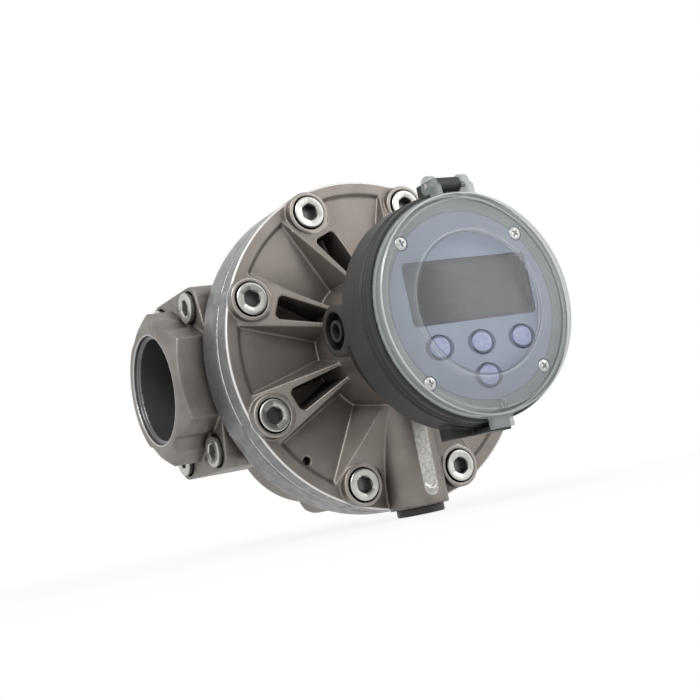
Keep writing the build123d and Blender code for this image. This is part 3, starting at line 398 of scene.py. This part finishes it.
def flatZone(tree, place):       # the milled flat on the conduit boss, round at its lower end
    parts = addNode(tree, "ShaderNodeSeparateXYZ", None, {0: place})
    pastEnd = addNode(tree, "ShaderNodeMath", {"operation": "ADD", 1: cutFaces["flatEnd"]},
                      {0: parts.outputs["Z"]}).outputs[0]
    below = addNode(tree, "ShaderNodeMath", {"operation": "MINIMUM", 1: 0.0}, {0: pastEnd}).outputs[0]
    offset = addNode(tree, "ShaderNodeCombineXYZ", None, {"X": parts.outputs["X"], "Y": below}).outputs[0]
    reach = addNode(tree, "ShaderNodeVectorMath", {"operation": "LENGTH"}, {0: offset}).outputs["Value"]
    start, full = cutFaces["flatHalfWidth"]
    within = addNode(tree, "ShaderNodeMapRange", {"From Min": start, "From Max": full},
                     {"Value": reach}).outputs[0]
    start, full = cutFaces["flatY"]
    front = addNode(tree, "ShaderNodeMapRange", {"From Min": start, "From Max": full},
                    {"Value": parts.outputs["Y"]}).outputs[0]
    return addNode(tree, "ShaderNodeMath", {"operation": "MULTIPLY"}, {0: within, 1: front}).outputs[0]


def capZone(tree, place):        # the turned edge and the milled flat
    return addNode(tree, "ShaderNodeMath", {"operation": "MAXIMUM"},
                   {0: flatZone(tree, place), 1: rimZone(tree, place)}).outputs[0]


def boreZone(tree, place):       # the port's mouth and bore
    start, full = cutFaces["boreRadius"]
    return addNode(tree, "ShaderNodeMapRange", {"From Min": start, "From Max": full},
                   {"Value": distanceFrom(tree, place, "X")}).outputs[0]


def rimHighlights(tree, place, colour, shader):       # painted highlights: bright lines at the turned edge's chamfers and at the cap and body joint
    along = addNode(tree, "ShaderNodeSeparateXYZ", None, {0: place}).outputs["Y"]
    lines = None
    for middle, half in cutFaces["rimHighlightY"]:
        offset = addNode(tree, "ShaderNodeMath", {"operation": "SUBTRACT", 1: middle}, {0: along}).outputs[0]
        offset = addNode(tree, "ShaderNodeMath", {"operation": "ABSOLUTE"}, {0: offset}).outputs[0]
        line = addNode(tree, "ShaderNodeMapRange", {"From Min": half + cutFaces["rimHighlightFade"],
                                                    "From Max": half - cutFaces["rimHighlightFade"]},
                       {"Value": offset}).outputs[0]
        lines = line if lines is None else addNode(tree, "ShaderNodeMath", {"operation": "MAXIMUM"},
                                                   {0: lines, 1: line}).outputs[0]
    start, full = cutFaces["rimHighlightRadius"]
    outer = addNode(tree, "ShaderNodeMapRange", {"From Min": start, "From Max": full},
                    {"Value": distanceFrom(tree, place, "Y")}).outputs[0]
    amount = addNode(tree, "ShaderNodeMath", {"operation": "MULTIPLY"}, {0: lines, 1: outer}).outputs[0]
    return addNode(tree, "ShaderNodeMix", {"data_type": "RGBA", 7: linear(cutFaces["rimHighlightColour"])},
                   {0: amount, 6: colour}).outputs[2]


def capCuts(tree, place, colour, shader):        # painted highlights on the chamfers, with the spot-faced bosses and the milled flat
    colour = rimHighlights(tree, place, colour, shader)
    along = addNode(tree, "ShaderNodeSeparateXYZ", None, {0: place}).outputs["Y"]
    start, full = cutFaces["bossRadius"]
    within = addNode(tree, "ShaderNodeMapRange", {"From Min": start, "From Max": full},
                     {"Value": boltDistance(tree, place)}).outputs[0]
    start, full = cutFaces["bossY"]
    front = addNode(tree, "ShaderNodeMapRange", {"From Min": start, "From Max": full,
                                                 "To Max": cutFaces["bossAmount"]},
                    {"Value": along}).outputs[0]
    boss = addNode(tree, "ShaderNodeMath", {"operation": "MULTIPLY"}, {0: within, 1: front}).outputs[0]
    colour = addNode(tree, "ShaderNodeMix", {"data_type": "RGBA", 7: linear(cutFaces["bossColour"])},
                     {0: boss, 6: colour}).outputs[2]
    speckle = addNode(tree, "ShaderNodeTexNoise", {"Scale": 1 / cutFaces["speckle"], "Detail": 3.0},
                      {"Vector": place}).outputs[0]
    start, full = cutFaces["speckleSpan"]
    speckled = addNode(tree, "ShaderNodeMapRange", {"From Min": start, "From Max": full},
                       {"Value": speckle}).outputs[0]
    milled = addNode(tree, "ShaderNodeMix", {"data_type": "RGBA", 6: linear(cutFaces["flatColour"]),
                                             7: linear(cutFaces["flatShade"])}, {0: speckled}).outputs[2]
    return addNode(tree, "ShaderNodeMix", {"data_type": "RGBA"},
                   {0: flatZone(tree, place), 6: colour, 7: milled}).outputs[2]


def mouthHighlight(tree, place, colour, shader):      # painted highlight on the port's mouth chamfer
    along = addNode(tree, "ShaderNodeSeparateXYZ", None, {0: place}).outputs["X"]
    aside = addNode(tree, "ShaderNodeMath", {"operation": "ABSOLUTE"}, {0: along}).outputs[0]
    start, full = cutFaces["mouthRadius"]
    within = addNode(tree, "ShaderNodeMapRange", {"From Min": start, "From Max": full},
                     {"Value": distanceFrom(tree, place, "X")}).outputs[0]
    start, full = cutFaces["mouthX"]
    outer = addNode(tree, "ShaderNodeMapRange", {"From Min": start, "From Max": full},
                    {"Value": aside}).outputs[0]
    ring = addNode(tree, "ShaderNodeMath", {"operation": "MULTIPLY"}, {0: within, 1: outer}).outputs[0]
    return addNode(tree, "ShaderNodeMix", {"data_type": "RGBA", 7: linear(cutFaces["mouthHighlightColour"])},
                   {0: ring, 6: colour}).outputs[2]


# Ports: the same casting, a little lighter, with a reamed bore that shows faint rings
portFinish = {**castStainless, "colour": "#8b8680", "shade": "#7f7a75",
              "machined": {"axis": "X", "colour": "#77777a", "shade": "#6a6a6c", "patch": 25.0, "pitch": 1.5,
                           "depth": 0.003, "roughness": 0.34}}
castingLooks = {
    "front_cap": addSurface("castStainlessCap", castStainless, capZone, capCuts),
    "meter_body": addSurface("castStainlessBody", castStainless, rimZone, rimHighlights),
    "inlet_port_adaptor": addSurface("castStainlessPort", portFinish, boreZone, mouthHighlight),
}
castingLooks["outlet_port_adaptor"] = castingLooks["inlet_port_adaptor"]
for node, values in castings.items():
    mesh = softenedMesh(node, values)
    addPiece(values["name"], mesh, [castingLooks[node]], "meter", [node])
print("castings done")

# Socket screws: forged stainless steel with rolled knurling, brighter and smoother than the castings
forgedStainless = {
    "colour": "#c6c4c0", "shade": "#b9b7b2", "patch": 5.0, "metallic": 0.95, "roughness": 0.34,
    "roughSpread": 0.05, "grain": 0.5, "grainDepth": 0.008,
    # painted shade that darkens the screws' hollows
    "paintedShade": "#3f3c39", "paintedShadeReach": 4.0, "paintedShadeAmount": 0.7,
}
socketScrew = {
    "headRadius": 8.5, "headHeight": 10.0, "underEdge": 0.4, "socketFlats": 8.0, "socketDepth": 5.0,
    "floorShare": 0.5, "shankRadius": 5.0, "shankEdge": 0.5, "knurls": 48, "knurlDepth": 0.3, "knurlTop": 1.1,
    "steps": 192,
    # from the head's side to its flat top: depth under the top and how far inside the head's radius
    "crown": ((0.8, 0.0), (0.5, 0.0), (0.3, 0.06), (0.12, 0.3), (0.0, 0.6), (0.0, 0.7)),
    # the socket's mouth: depth under the top and how far outside the hexagon
    "mouth": ((0.0, 0.55), (0.08, 0.4), (0.5, 0.0), (0.55, 0.0)),
    # painted shade inside the sockets
    "socketShadeRadius": (4.85, 4.6), "socketShadeColour": "#6b6966",
}
portBolts = {"seat": 77.5, "fronts": (-22, 22), "heights": (-40, 40), "length": 30.0}


def screwRings(length):
    v = socketScrew
    ridge = np.abs((anglesOf(v["steps"]) * v["knurls"] / (2 * math.pi)) % 1 - 0.5) * 2
    knurl = v["headRadius"] - v["knurlDepth"] * ridge
    hexagon = polygonRadius(v["steps"], 6, v["socketFlats"])
    top, floor = v["headHeight"], v["headHeight"] - v["socketDepth"]
    rings = [(-length, v["shankRadius"] - v["shankEdge"]), (-length + v["shankEdge"], v["shankRadius"]),
             (0.0, v["shankRadius"]), (0.0, v["headRadius"] - v["underEdge"]), (v["underEdge"], knurl),
             (top - v["knurlTop"], knurl)]
    rings += [(top - depth, v["headRadius"] - inset) for depth, inset in v["crown"]]
    rings += [(top - depth, hexagon + growth) for depth, growth in v["mouth"]]
    return rings + [(floor, hexagon), (floor, hexagon * v["floorShare"])]


def paintedSocketShade(tree, place, colour, shader):    # painted shade inside the cap screws' sockets
    start, full = socketScrew["socketShadeRadius"]
    socket = addNode(tree, "ShaderNodeMapRange", {"From Min": start, "From Max": full},
                     {"Value": boltDistance(tree, place)}).outputs[0]
    return addNode(tree, "ShaderNodeMix", {"data_type": "RGBA", 7: linear(socketScrew["socketShadeColour"])},
                   {0: socket, 6: colour}).outputs[2]


screwLook = addSurface("forgedStainless", forgedStainless)
capScrewLook = addSurface("forgedStainlessCap", forgedStainless, paint=paintedSocketShade)
capAngles = [math.radians(capBolts["firstAngle"] + 360 / capBolts["count"] * k)
             for k in range(capBolts["count"])]
portPlaces = [(front, z) for front in portBolts["fronts"] for z in portBolts["heights"]]
screwSets = {
    "cap_screws": ("capScrews", capScrewLook, capBolts["length"], [
        facing("front", capBolts["circle"] * math.cos(a), capBolts["seat"], capBolts["circle"] * math.sin(a))
        for a in capAngles]),
    "inlet_adaptor_screws": ("inletScrews", screwLook, portBolts["length"], [
        facing("left", -portBolts["seat"], front, z) for front, z in portPlaces]),
    "outlet_adaptor_screws": ("outletScrews", screwLook, portBolts["length"], [
        facing("right", portBolts["seat"], front, z) for front, z in portPlaces]),
}
for node, (name, look, length, placings) in screwSets.items():
    mesh = loftMesh(name, screwRings(length), socketScrew["steps"], placings)
    addPiece(name, mesh, [look], "meter", [node])
print("screws done")

# Register housing: glass filled nylon, moulded with a spark eroded grain. Charcoal, dull, soft edged.
mouldedNylon = {
    "colour": "#1f1f20", "shade": "#1b1b1c", "patch": 20.0, "metallic": 0.0, "roughness": 0.5,
    "roughSpread": 0.06,
    "grain": 0.6, "grainDepth": 0.02,    # the real grain is about 0.1 mm, drawn coarser so that it shows
    # painted shade that darkens the hollows
    "paintedShade": "#0c0c0c", "paintedShadeReach": 5.0, "paintedShadeAmount": 0.8, "sockets": {"IOR": 1.5},
}
# Blanking plug: black nylon, turned from bar, a little glossier than the housing
plugNylon = {**mouldedNylon, "colour": "#1d1c1e", "shade": "#18171a", "roughness": 0.42, "grain": 1.1}
# Cable sleeve and seals: moulded rubber, near black with a satin skin
mouldedRubber = {
    "colour": "#131314", "shade": "#19191a", "patch": 6.0, "metallic": 0.0, "roughness": 0.62,
    "roughSpread": 0.08, "grain": 0.5, "grainDepth": 0.012, "sockets": {"IOR": 1.52},
}
nylonLook = addSurface("mouldedNylon", mouldedNylon)
rubberLook = addSurface("mouldedRubber", mouldedRubber)
mouldings = {
    "register_housing": {
        "name": "registerHousing", "slot": "register_plastic", "cell": 0.42, "soften": 3, "share": 0.18,
        "look": nylonLook,
        "turned": [("Y", (0, 0), (45.5, 45.5), (115, 137)), ("Y", (0, 0), (57.8, 57.8), (139.4, 156.1)),
                   ("X", (-128, 1), (12.8, 12.8), (-57, -40))]},
    "conduit_plug": {
        "name": "conduitPlug", "slot": "black_nylon", "cell": 0.3, "soften": 3, "share": 0.3,
        "look": addSurface("plugNylon", plugNylon),
        "turned": [("Z", (0, -79.5), (12.85, 12.85), (-95, -91))]},
    "cable_grommet": {
        "name": "cableSleeve", "slot": "grommet_rubber", "cell": 0.25, "soften": 3, "share": 0.3,
        "look": rubberLook, "turned": [("X", (-128, 1), (5.4, 5.4), (-57, -51))]},
}
for node, values in mouldings.items():
    addPiece(values["name"], softenedMesh(node, values), [values["look"]], "meter", [node])
print("mouldings done")

# Clear lid: moulded polycarbonate. It reads as a grey-green haze over what is under it, with painted
# highlights and painted dark reflections along its edges. A haze is how much of what lies behind it hides.
clearPolycarbonate = {
    "colour": "#9fa6a9", "shade": "#959c9f", "patch": 18.0, "metallic": 0.0, "roughness": 0.1,
    "roughSpread": 0.03, "grain": 2.5, "grainDepth": 0.008, "sockets": {"IOR": 1.58}, "wall": "#969d9d",
    "discHaze": 0.05, "discRadius": (35.1, 35.5), "rimHaze": 0.19, "rimRadius": (52.8, 54.3), "earHaze": 0.5,
    # moulded steps drawn as painted highlights and painted dark reflections: radius, half width, colour and
    # haze
    "steps": ((35.0, 0.5, "#596163", 0.55), (36.1, 0.4, "#c9cfd2", 0.3), (51.6, 0.4, "#c9cfcf", 0.3),
              (54.3, 0.5, "#e0e4e4", 0.55)),
    # painted dark reflection round the pip
    "pipPlace": (0, 0, -50), "pipPaintedLines": ((2.3, 0.5, "#596163", 0.6),), "stepCore": 0.4,
}
lidCells = {"cell": 0.36, "soften": 3, "share": 0.3, "turned": [
    ("Y", (0, 0), (55.8, 55.0), (164.9, 170.2)), ("Y", (0, 0), (35.3, 35.3), (171.45, 171.8))]}


def lidHaze(tree, place, colour, shader):
    v = clearPolycarbonate
    radius = distanceFrom(tree, place, "Y")
    start, full = v["discRadius"]
    haze = addNode(tree, "ShaderNodeMapRange", {"From Min": start, "From Max": full, "To Min": v["discHaze"],
                                                "To Max": v["rimHaze"]}, {"Value": radius}).outputs[0]
    start, full = v["rimRadius"]
    edge = addNode(tree, "ShaderNodeMapRange", {"From Min": start, "From Max": full},
                   {"Value": radius}).outputs[0]
    haze = addNode(tree, "ShaderNodeMix", {3: v["earHaze"]}, {0: edge, 2: haze}).outputs[0]
    colour = addNode(tree, "ShaderNodeMix", {"data_type": "RGBA", 7: linear(v["wall"])},
                     {0: edge, 6: colour}).outputs[2]
    fromPip = addNode(tree, "ShaderNodeVectorMath", {"operation": "SUBTRACT", 1: v["pipPlace"]}, {0: place})
    pip = distanceFrom(tree, fromPip.outputs[0], "Y")
    lines = [(radius, *step) for step in v["steps"]] + [(pip, *step) for step in v["pipPaintedLines"]]
    # painted highlights and painted dark reflections along the moulded steps and round the pip
    for value, middle, half, tint, veil in lines:
        offset = addNode(tree, "ShaderNodeMath", {"operation": "SUBTRACT", 1: middle}, {0: value}).outputs[0]
        offset = addNode(tree, "ShaderNodeMath", {"operation": "ABSOLUTE"}, {0: offset}).outputs[0]
        step = addNode(tree, "ShaderNodeMapRange", {"From Min": half, "From Max": half * v["stepCore"]},
                       {"Value": offset}).outputs[0]
        haze = addNode(tree, "ShaderNodeMix", {3: veil}, {0: step, 2: haze}).outputs[0]
        colour = addNode(tree, "ShaderNodeMix", {"data_type": "RGBA", 7: linear(tint)},
                         {0: step, 6: colour}).outputs[2]
    tree.links.new(haze, shader.inputs["Alpha"])
    return colour


lidLook = addSurface("clearPolycarbonate", clearPolycarbonate, paint=lidHaze)
addPiece("clearLid", softenedMesh("clear_lid", lidCells), [lidLook], "lid", ["clear_lid"])
print("lid done")

# Facia: ABS bezel, a printed polyester disc and polycarbonate keys. The print is a cool blue-grey,
# the keys a little paler and more violet, each with a darker ring round it. The bezel is a greenish grey.
mouldedAbs = {
    "colour": "#828888", "shade": "#7b8181", "patch": 16.0, "metallic": 0.0, "roughness": 0.5,
    "roughSpread": 0.05, "grain": 0.5, "grainDepth": 0.01, "sockets": {"IOR": 1.53},
}
# A ring's edges are given as shares of its half width and half height
printedPolyester = {
    "colour": "#8890a2", "shade": "#828a9b", "patch": 22.0, "metallic": 0.0, "roughness": 0.42,
    "roughSpread": 0.05, "grain": 0.6, "grainDepth": 0.006, "sockets": {"IOR": 1.6},
    "ring": "#495068", "ringHalfWidth": 8.1, "ringHalfHeight": 6.3, "ringInner": (0.71, 0.75),
    "ringOuter": (1.02, 0.98),
}
mouldedKeys = {
    "colour": "#8e95b8", "shade": "#9da3c2", "patch": 1.4, "metallic": 0.0, "roughness": 0.4,
    "roughSpread": 0.08, "grain": 0.7, "grainDepth": 0.03, "sockets": {"IOR": 1.58},
}
keys = {"left_button": (-24.3, -18.5), "middle_button": (0.0, -18.5), "right_button": (24.3, -18.5),
        "lower_button": (0.0, -34.9)}    # x and z


def keyRings(tree, place, colour, shader):
    v = printedPolyester
    nearest = None
    for x, z in keys.values():
        offset = addNode(tree, "ShaderNodeVectorMath", {"operation": "SUBTRACT", 1: (x, 0, z)}, {0: place})
        scaled = addNode(tree, "ShaderNodeVectorMath",
                         {"operation": "MULTIPLY", 1: (1 / v["ringHalfWidth"], 0, 1 / v["ringHalfHeight"])},
                         {0: offset.outputs[0]})
        reach = addNode(tree, "ShaderNodeVectorMath", {"operation": "LENGTH"},
                        {0: scaled.outputs[0]}).outputs["Value"]
        nearest = reach if nearest is None else addNode(tree, "ShaderNodeMath", {"operation": "MINIMUM"},
                                                        {0: nearest, 1: reach}).outputs[0]
    edges = []
    for start, full in (v["ringInner"], v["ringOuter"]):
        edges.append(addNode(tree, "ShaderNodeMapRange", {"From Min": start, "From Max": full},
                             {"Value": nearest}).outputs[0])
    ring = addNode(tree, "ShaderNodeMath", {"operation": "MULTIPLY"}, {0: edges[0], 1: edges[1]}).outputs[0]
    return addNode(tree, "ShaderNodeMix", {"data_type": "RGBA", 7: linear(v["ring"])},
                   {0: ring, 6: colour}).outputs[2]


keyShape = {
    "halfWidth": 5.7, "halfHeight": 5.9, "top": 166.15, "crown": 0.8, "crownSteps": 8, "dome": 0.12,
    "flange": 1.2, "flangeEdge": 0.2, "flangeFront": 159.8, "flangeBack": 158.6, "stemRadius": 2.0,
    "middle": ((0.02, -2.0), (0.0, -3.5)),       # the flat top: depth and how much the oval shrinks
    "middleRadius": 0.3, "steps": 96,
}


def ovalRadius(growth):
    wide, high = keyShape["halfWidth"] + growth, keyShape["halfHeight"] + growth
    angles = anglesOf(keyShape["steps"])
    return wide * high / np.hypot(high * np.cos(angles), wide * np.sin(angles))


def keyProfile(stemEnd):
    v = keyShape
    back, front, edge = v["flangeBack"], v["flangeFront"], v["flangeEdge"]
    rings = [(stemEnd, v["stemRadius"]), (back, v["stemRadius"]), (back, ovalRadius(v["flange"] - edge)),
             (back + edge, ovalRadius(v["flange"])), (front - edge, ovalRadius(v["flange"])),
             (front, ovalRadius(v["flange"] - edge)), (front, ovalRadius(0))]
    for k in range(v["crownSteps"] + 1):     # the crown, a quarter round that runs out into a shallow dome
        share = k / v["crownSteps"]
        turn = share * math.pi / 2
        rings.append((v["top"] - v["crown"] * (1 - math.sin(turn)) - v["dome"] * (1 - share),
                      ovalRadius(-v["crown"] * (1 - math.cos(turn)))))
    rings += [(v["top"] - depth, ovalRadius(growth)) for depth, growth in v["middle"]]
    return rings + [(v["top"], v["middleRadius"])]


keyLook = addSurface("mouldedKeys", mouldedKeys, paint=keyRings)
for node, (x, z) in keys.items():
    stemEnd = -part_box(node)[1].y / mm
    name = node.replace("_button", "Key")
    mesh = loftMesh(name, keyProfile(stemEnd), keyShape["steps"], [facing("front", x, 0, z)])
    addPiece(name, mesh, [keyLook], node.replace("_button", "_key"), [node])

# Facia screws: stainless steel pan heads with a cross recess, polished, the brightest metal on the meter
# keeps the forged screws' painted shade in the hollows, reaching less far
polishedStainless = {**forgedStainless, "colour": "#efedea", "shade": "#e5e3e0", "metallic": 0.85,
                     "roughness": 0.3, "paintedShadeReach": 2.0}
panScrew = {
    "headRadius": 3.5, "headHeight": 2.2, "underEdge": 0.1, "crownHeight": 1.5, "crownInset": 1.3,
    "crownSteps": 8, "shankRadius": 1.4, "length": 14.0, "tipLength": 1.0, "tipShare": 0.5,
    "armReach": 1.9, "armHalfWidth": 0.5, "armEdge": 0.1, "armEdgeDepth": 0.12, "recessDepth": 1.3,
    "floorReachShare": 0.6, "floorWidthShare": 0.7, "steps": 96, "sharp": 30.0, "seat": 163.6,
    # x, z and turn in degrees
    "places": ((-33.8, 33.0, 20), (33.8, 33.0, 50), (-33.8, -34.6, 8), (33.8, -34.6, 35)),
}


def crossRadius(reach, halfWidth):
    turn = np.abs((anglesOf(panScrew["steps"]) + math.pi / 4) % (math.pi / 2) - math.pi / 4)
    return np.where(np.tan(turn) * reach < halfWidth, reach / np.cos(turn),
                    halfWidth / np.maximum(np.sin(turn), 1e-6))


def panRings():
    v = panScrew
    length, top = v["length"], v["headHeight"]
    rings = [(-length, v["shankRadius"] * v["tipShare"]), (-length + v["tipLength"], v["shankRadius"]),
             (0.0, v["shankRadius"]), (0.0, v["headRadius"] - v["underEdge"]),
             (v["underEdge"], v["headRadius"])]
    for k in range(v["crownSteps"] + 1):
        turn = k / v["crownSteps"] * math.pi / 2
        rings.append((top - v["crownHeight"] * (1 - math.sin(turn)),
                      v["headRadius"] - v["crownInset"] * (1 - math.cos(turn))))
    return rings + [
        (top, crossRadius(v["armReach"] + v["armEdge"], v["armHalfWidth"] + v["armEdge"])),
        (top - v["armEdgeDepth"], crossRadius(v["armReach"], v["armHalfWidth"])),
        (top - v["recessDepth"], crossRadius(v["armReach"] * v["floorReachShare"],
                                             v["armHalfWidth"] * v["floorWidthShare"]))]


panPlacings = [facing("front", x, panScrew["seat"], z) @ Matrix.Rotation(math.radians(turn), 4, "Z")
               for x, z, turn in panScrew["places"]]
panMesh = loftMesh("faciaScrews", panRings(), panScrew["steps"], panPlacings, panScrew["sharp"])
addPiece("faciaScrews", panMesh, [addSurface("polishedStainless", polishedStainless)], "meter",
         ["facia_screws"])
print("facia pieces done")

# Finishes of the pieces that keep their CAD shape
# Display: liquid crystal glass, an even mid grey with a faint grain at the 0.7 mm pitch of its electrodes
displayGlass = {
    "colour": "#59585c", "shade": "#545357", "patch": 30.0, "metallic": 0.0, "roughness": 0.28,
    "roughSpread": 0.02, "grain": 0.7, "grainDepth": 0.001, "sockets": {"IOR": 1.52},
}
# Window: cast acrylic, tinted grey, so that the recess under it hardly shows
castAcrylic = {
    "colour": "#5a595d", "shade": "#555458", "patch": 30.0, "metallic": 0.0, "roughness": 0.08,
    "roughSpread": 0.02, "grain": 3.0, "grainDepth": 0.002, "sockets": {"IOR": 1.49, "Alpha": 0.75},
}
# Shafts and hinge pin: ground steel, bright with a fine grain
groundSteel = {
    "colour": "#b4b3b1", "shade": "#a5a4a2", "patch": 4.0, "metallic": 1.0, "roughness": 0.2,
    "roughSpread": 0.04, "grain": 0.25, "grainDepth": 0.004,
}
# Rotors: hobbed steel, duller than the shafts
hobbedSteel = {**groundSteel, "colour": "#9d9b98", "shade": "#8b8986", "roughness": 0.34, "grain": 0.5,
               "grainDepth": 0.012}
# Bushes and washers: carbon filled polymer, dark with a speckle
carbonPolymer = {**mouldedNylon, "colour": "#39393b", "shade": "#2e2e30", "patch": 1.5, "grain": 0.4}
# Magnets: nickel plate, warm and glossy
nickelPlate = {**groundSteel, "colour": "#c3bdb1", "shade": "#b3ada2", "roughness": 0.16}
# Circuit boards: green solder mask over copper tracks about 1 mm apart
solderMask = {
    "colour": "#1d5a35", "shade": "#2c7347", "patch": 1.1, "metallic": 0.0, "roughness": 0.35,
    "roughSpread": 0.06, "grain": 0.5, "grainDepth": 0.03, "sockets": {"IOR": 1.55},
}
# Reed capsules: drawn glass, clear and a little green
reedGlass = {**castAcrylic, "colour": "#b6c4b8", "shade": "#a9b8ab", "sockets": {"IOR": 1.5, "Alpha": 0.5}}
# Battery: blue shrink sleeve, glossy with slight wrinkles
shrinkSleeve = {
    "colour": "#2c5680", "shade": "#264b70", "patch": 9.0, "metallic": 0.0, "roughness": 0.25,
    "roughSpread": 0.05, "grain": 1.6, "grainDepth": 0.03, "sockets": {"IOR": 1.54},
}
# Key mat: cast silicone, grey and dull
castSilicone = {**mouldedRubber, "colour": "#5c5c60", "shade": "#525256", "roughness": 0.7}
keptLooks = {
    "facia_bezel": addSurface("mouldedAbs", mouldedAbs),
    "facia_label": addSurface("printedPolyester", printedPolyester, paint=keyRings),
    "lcd_module": addSurface("displayGlass", displayGlass),
    "window_lens": addSurface("castAcrylic", castAcrylic),
    "keypad_mat": addSurface("castSilicone", castSilicone),
    "battery": addSurface("shrinkSleeve", shrinkSleeve),
    "pickup_sensors": addSurface("reedGlass", reedGlass),
    "battery_clip": nylonLook,
}
for finish, values, named in (
    ("groundSteel", groundSteel, ["upper_rotor_shaft", "lower_rotor_shaft", "hinge_pin"]),
    ("hobbedSteel", hobbedSteel, ["upper_oval_gear", "lower_oval_gear"]),
    ("carbonPolymer", carbonPolymer, ["upper_gear_bush", "lower_gear_bush", "thrust_washers"]),
    ("nickelPlate", nickelPlate, ["upper_gear_magnets", "lower_gear_magnets"]),
    ("solderMask", solderMask, ["sensor_board", "circuit_board"]),
):
    look = addSurface(finish, values)
    keptLooks.update({node: look for node in named})
for node in ("inlet_adaptor_seal", "outlet_adaptor_seal", "cap_seal", "conduit_plug_washer",
             "register_gasket", "facia_seal"):
    keptLooks[node] = rubberLook
for node in ("sensor_board_screws", "register_mount_screws"):
    keptLooks[node] = screwLook
for node, look in keptLooks.items():
    for slot in nodes[node].material_slots:
        slot.material = look
print("kept nodes finished", len(keptLooks))

# Camera: the photograph's angle, a little below the pipe's axis and to its inlet side. Its place is in mm
# from the meter's middle, its axes are unit vectors, its lens and sensor are in mm and nearest is in metres.
camera = {"place": (-351.28, -648.84, -76.18), "right": (0.85984, -0.47025, -0.19886),
          "down": (-0.11892, 0.19432, -0.97370), "view": (0.49652, 0.86088, 0.11117),
          "lens": 64.0, "sensor": 36.0, "nearest": 0.01}
cameraData = bpy.data.cameras.new("camera")
cameraData.lens, cameraData.sensor_width, cameraData.clip_start = (
    camera["lens"], camera["sensor"], camera["nearest"])
cameraObject = bpy.data.objects.new("camera", cameraData)
bpy.context.scene.collection.objects.link(cameraObject)
axes = Matrix((Vector(camera["right"]), -Vector(camera["down"]), -Vector(camera["view"])))
cameraPlace = Vector(camera["place"]) * mm + Vector((middleX, 0, 0))
cameraObject.matrix_world = Matrix.Translation(cameraPlace) @ axes.transposed().to_4x4()
bpy.context.scene.camera = cameraObject

# Lamps: two large soft boxes in front, aimed at the meter, in metres and watts
lamps = {
    "keyLamp": {"place": (-0.9, -1.3, 1.3), "size": 0.8, "power": 20.0},
    "fillLamp": {"place": (1.2, -1.0, 0.6), "size": 1.0, "power": 8.0},
}
lampAim = Vector((0.1, -0.08, 0))
for name, values in lamps.items():
    light = bpy.data.lights.new(name, "AREA")
    light.size, light.energy = values["size"], values["power"]
    lamp = bpy.data.objects.new(name, light)
    lamp.location = values["place"]
    lamp.rotation_euler = (lampAim - lamp.location).to_track_quat("-Z", "Y").to_euler()
    bpy.context.scene.collection.objects.link(lamp)


def seenRays(tree):      # 1 for the rays that show the background: straight, mirrored or through glass
    path = addNode(tree, "ShaderNodeLightPath")
    first = addNode(tree, "ShaderNodeMath", {"operation": "MAXIMUM"},
                    {0: path.outputs["Is Camera Ray"], 1: path.outputs["Is Glossy Ray"]}).outputs[0]
    return addNode(tree, "ShaderNodeMath", {"operation": "MAXIMUM"},
                   {0: first, 1: path.outputs["Is Transmission Ray"]}).outputs[0]


# A white room that is seen as pure white. Near the meter the floor shows some of its own shading, so that
# the shadow stays, and farther off, in metres from the frame's origin, it fades into the white.
room = {"wall": 0.55, "floorSize": 60.0, "floorGap": 0.5, "floorColour": "#f4f4f2", "floorRoughness": 0.9,
        "floorWhite": 0.88, "shadeFrom": 0.22, "shadeTo": 0.48}
world = bpy.data.worlds.new("room")
bpy.context.scene.world = world
world.use_nodes = True
tree = world.node_tree
strength = addNode(tree, "ShaderNodeMapRange", {"To Min": room["wall"], "To Max": 1.0},
                   {"Value": seenRays(tree)}).outputs[0]
tree.nodes["Background"].inputs["Color"].default_value = (1, 1, 1, 1)
tree.links.new(strength, tree.nodes["Background"].inputs["Strength"])

floorMaterial = bpy.data.materials.new("paintedFloor")
floorMaterial.use_nodes = True
tree = floorMaterial.node_tree
matt = tree.nodes["Principled BSDF"]
matt.inputs["Base Color"].default_value = linear(room["floorColour"])
matt.inputs["Roughness"].default_value = room["floorRoughness"]
glow = addNode(tree, "ShaderNodeEmission", {"Color": (1, 1, 1, 1), "Strength": 1.0})
away = addNode(tree, "ShaderNodeVectorMath", {"operation": "LENGTH"},
               {0: addNode(tree, "ShaderNodeTexCoord").outputs["Object"]}).outputs["Value"]
share = addNode(tree, "ShaderNodeMapRange", {"From Min": room["shadeFrom"], "From Max": room["shadeTo"],
                                             "To Min": room["floorWhite"], "To Max": 1.0}, {"Value": away})
shown = addNode(tree, "ShaderNodeMath", {"operation": "MULTIPLY"}, {0: seenRays(tree), 1: share.outputs[0]})
mixed = addNode(tree, "ShaderNodeMixShader", None,
                {0: shown.outputs[0], 1: matt.outputs[0], 2: glow.outputs[0]})
tree.links.new(mixed.outputs[0], tree.nodes["Material Output"].inputs["Surface"])
half, low = room["floorSize"], cadBox[0].z - room["floorGap"] * mm
floorMesh = bpy.data.meshes.new("floor")
floorMesh.from_pydata([(-half, -half, low), (half, -half, low), (half, half, low), (-half, half, low)], [],
                      [(0, 1, 2, 3)])
floorMesh.materials.append(floorMaterial)
floor = bpy.data.objects.new("floor", floorMesh)
bpy.context.scene.collection.objects.link(floor)
bpy.context.scene.view_settings.view_transform = "Standard"
print("studio done")
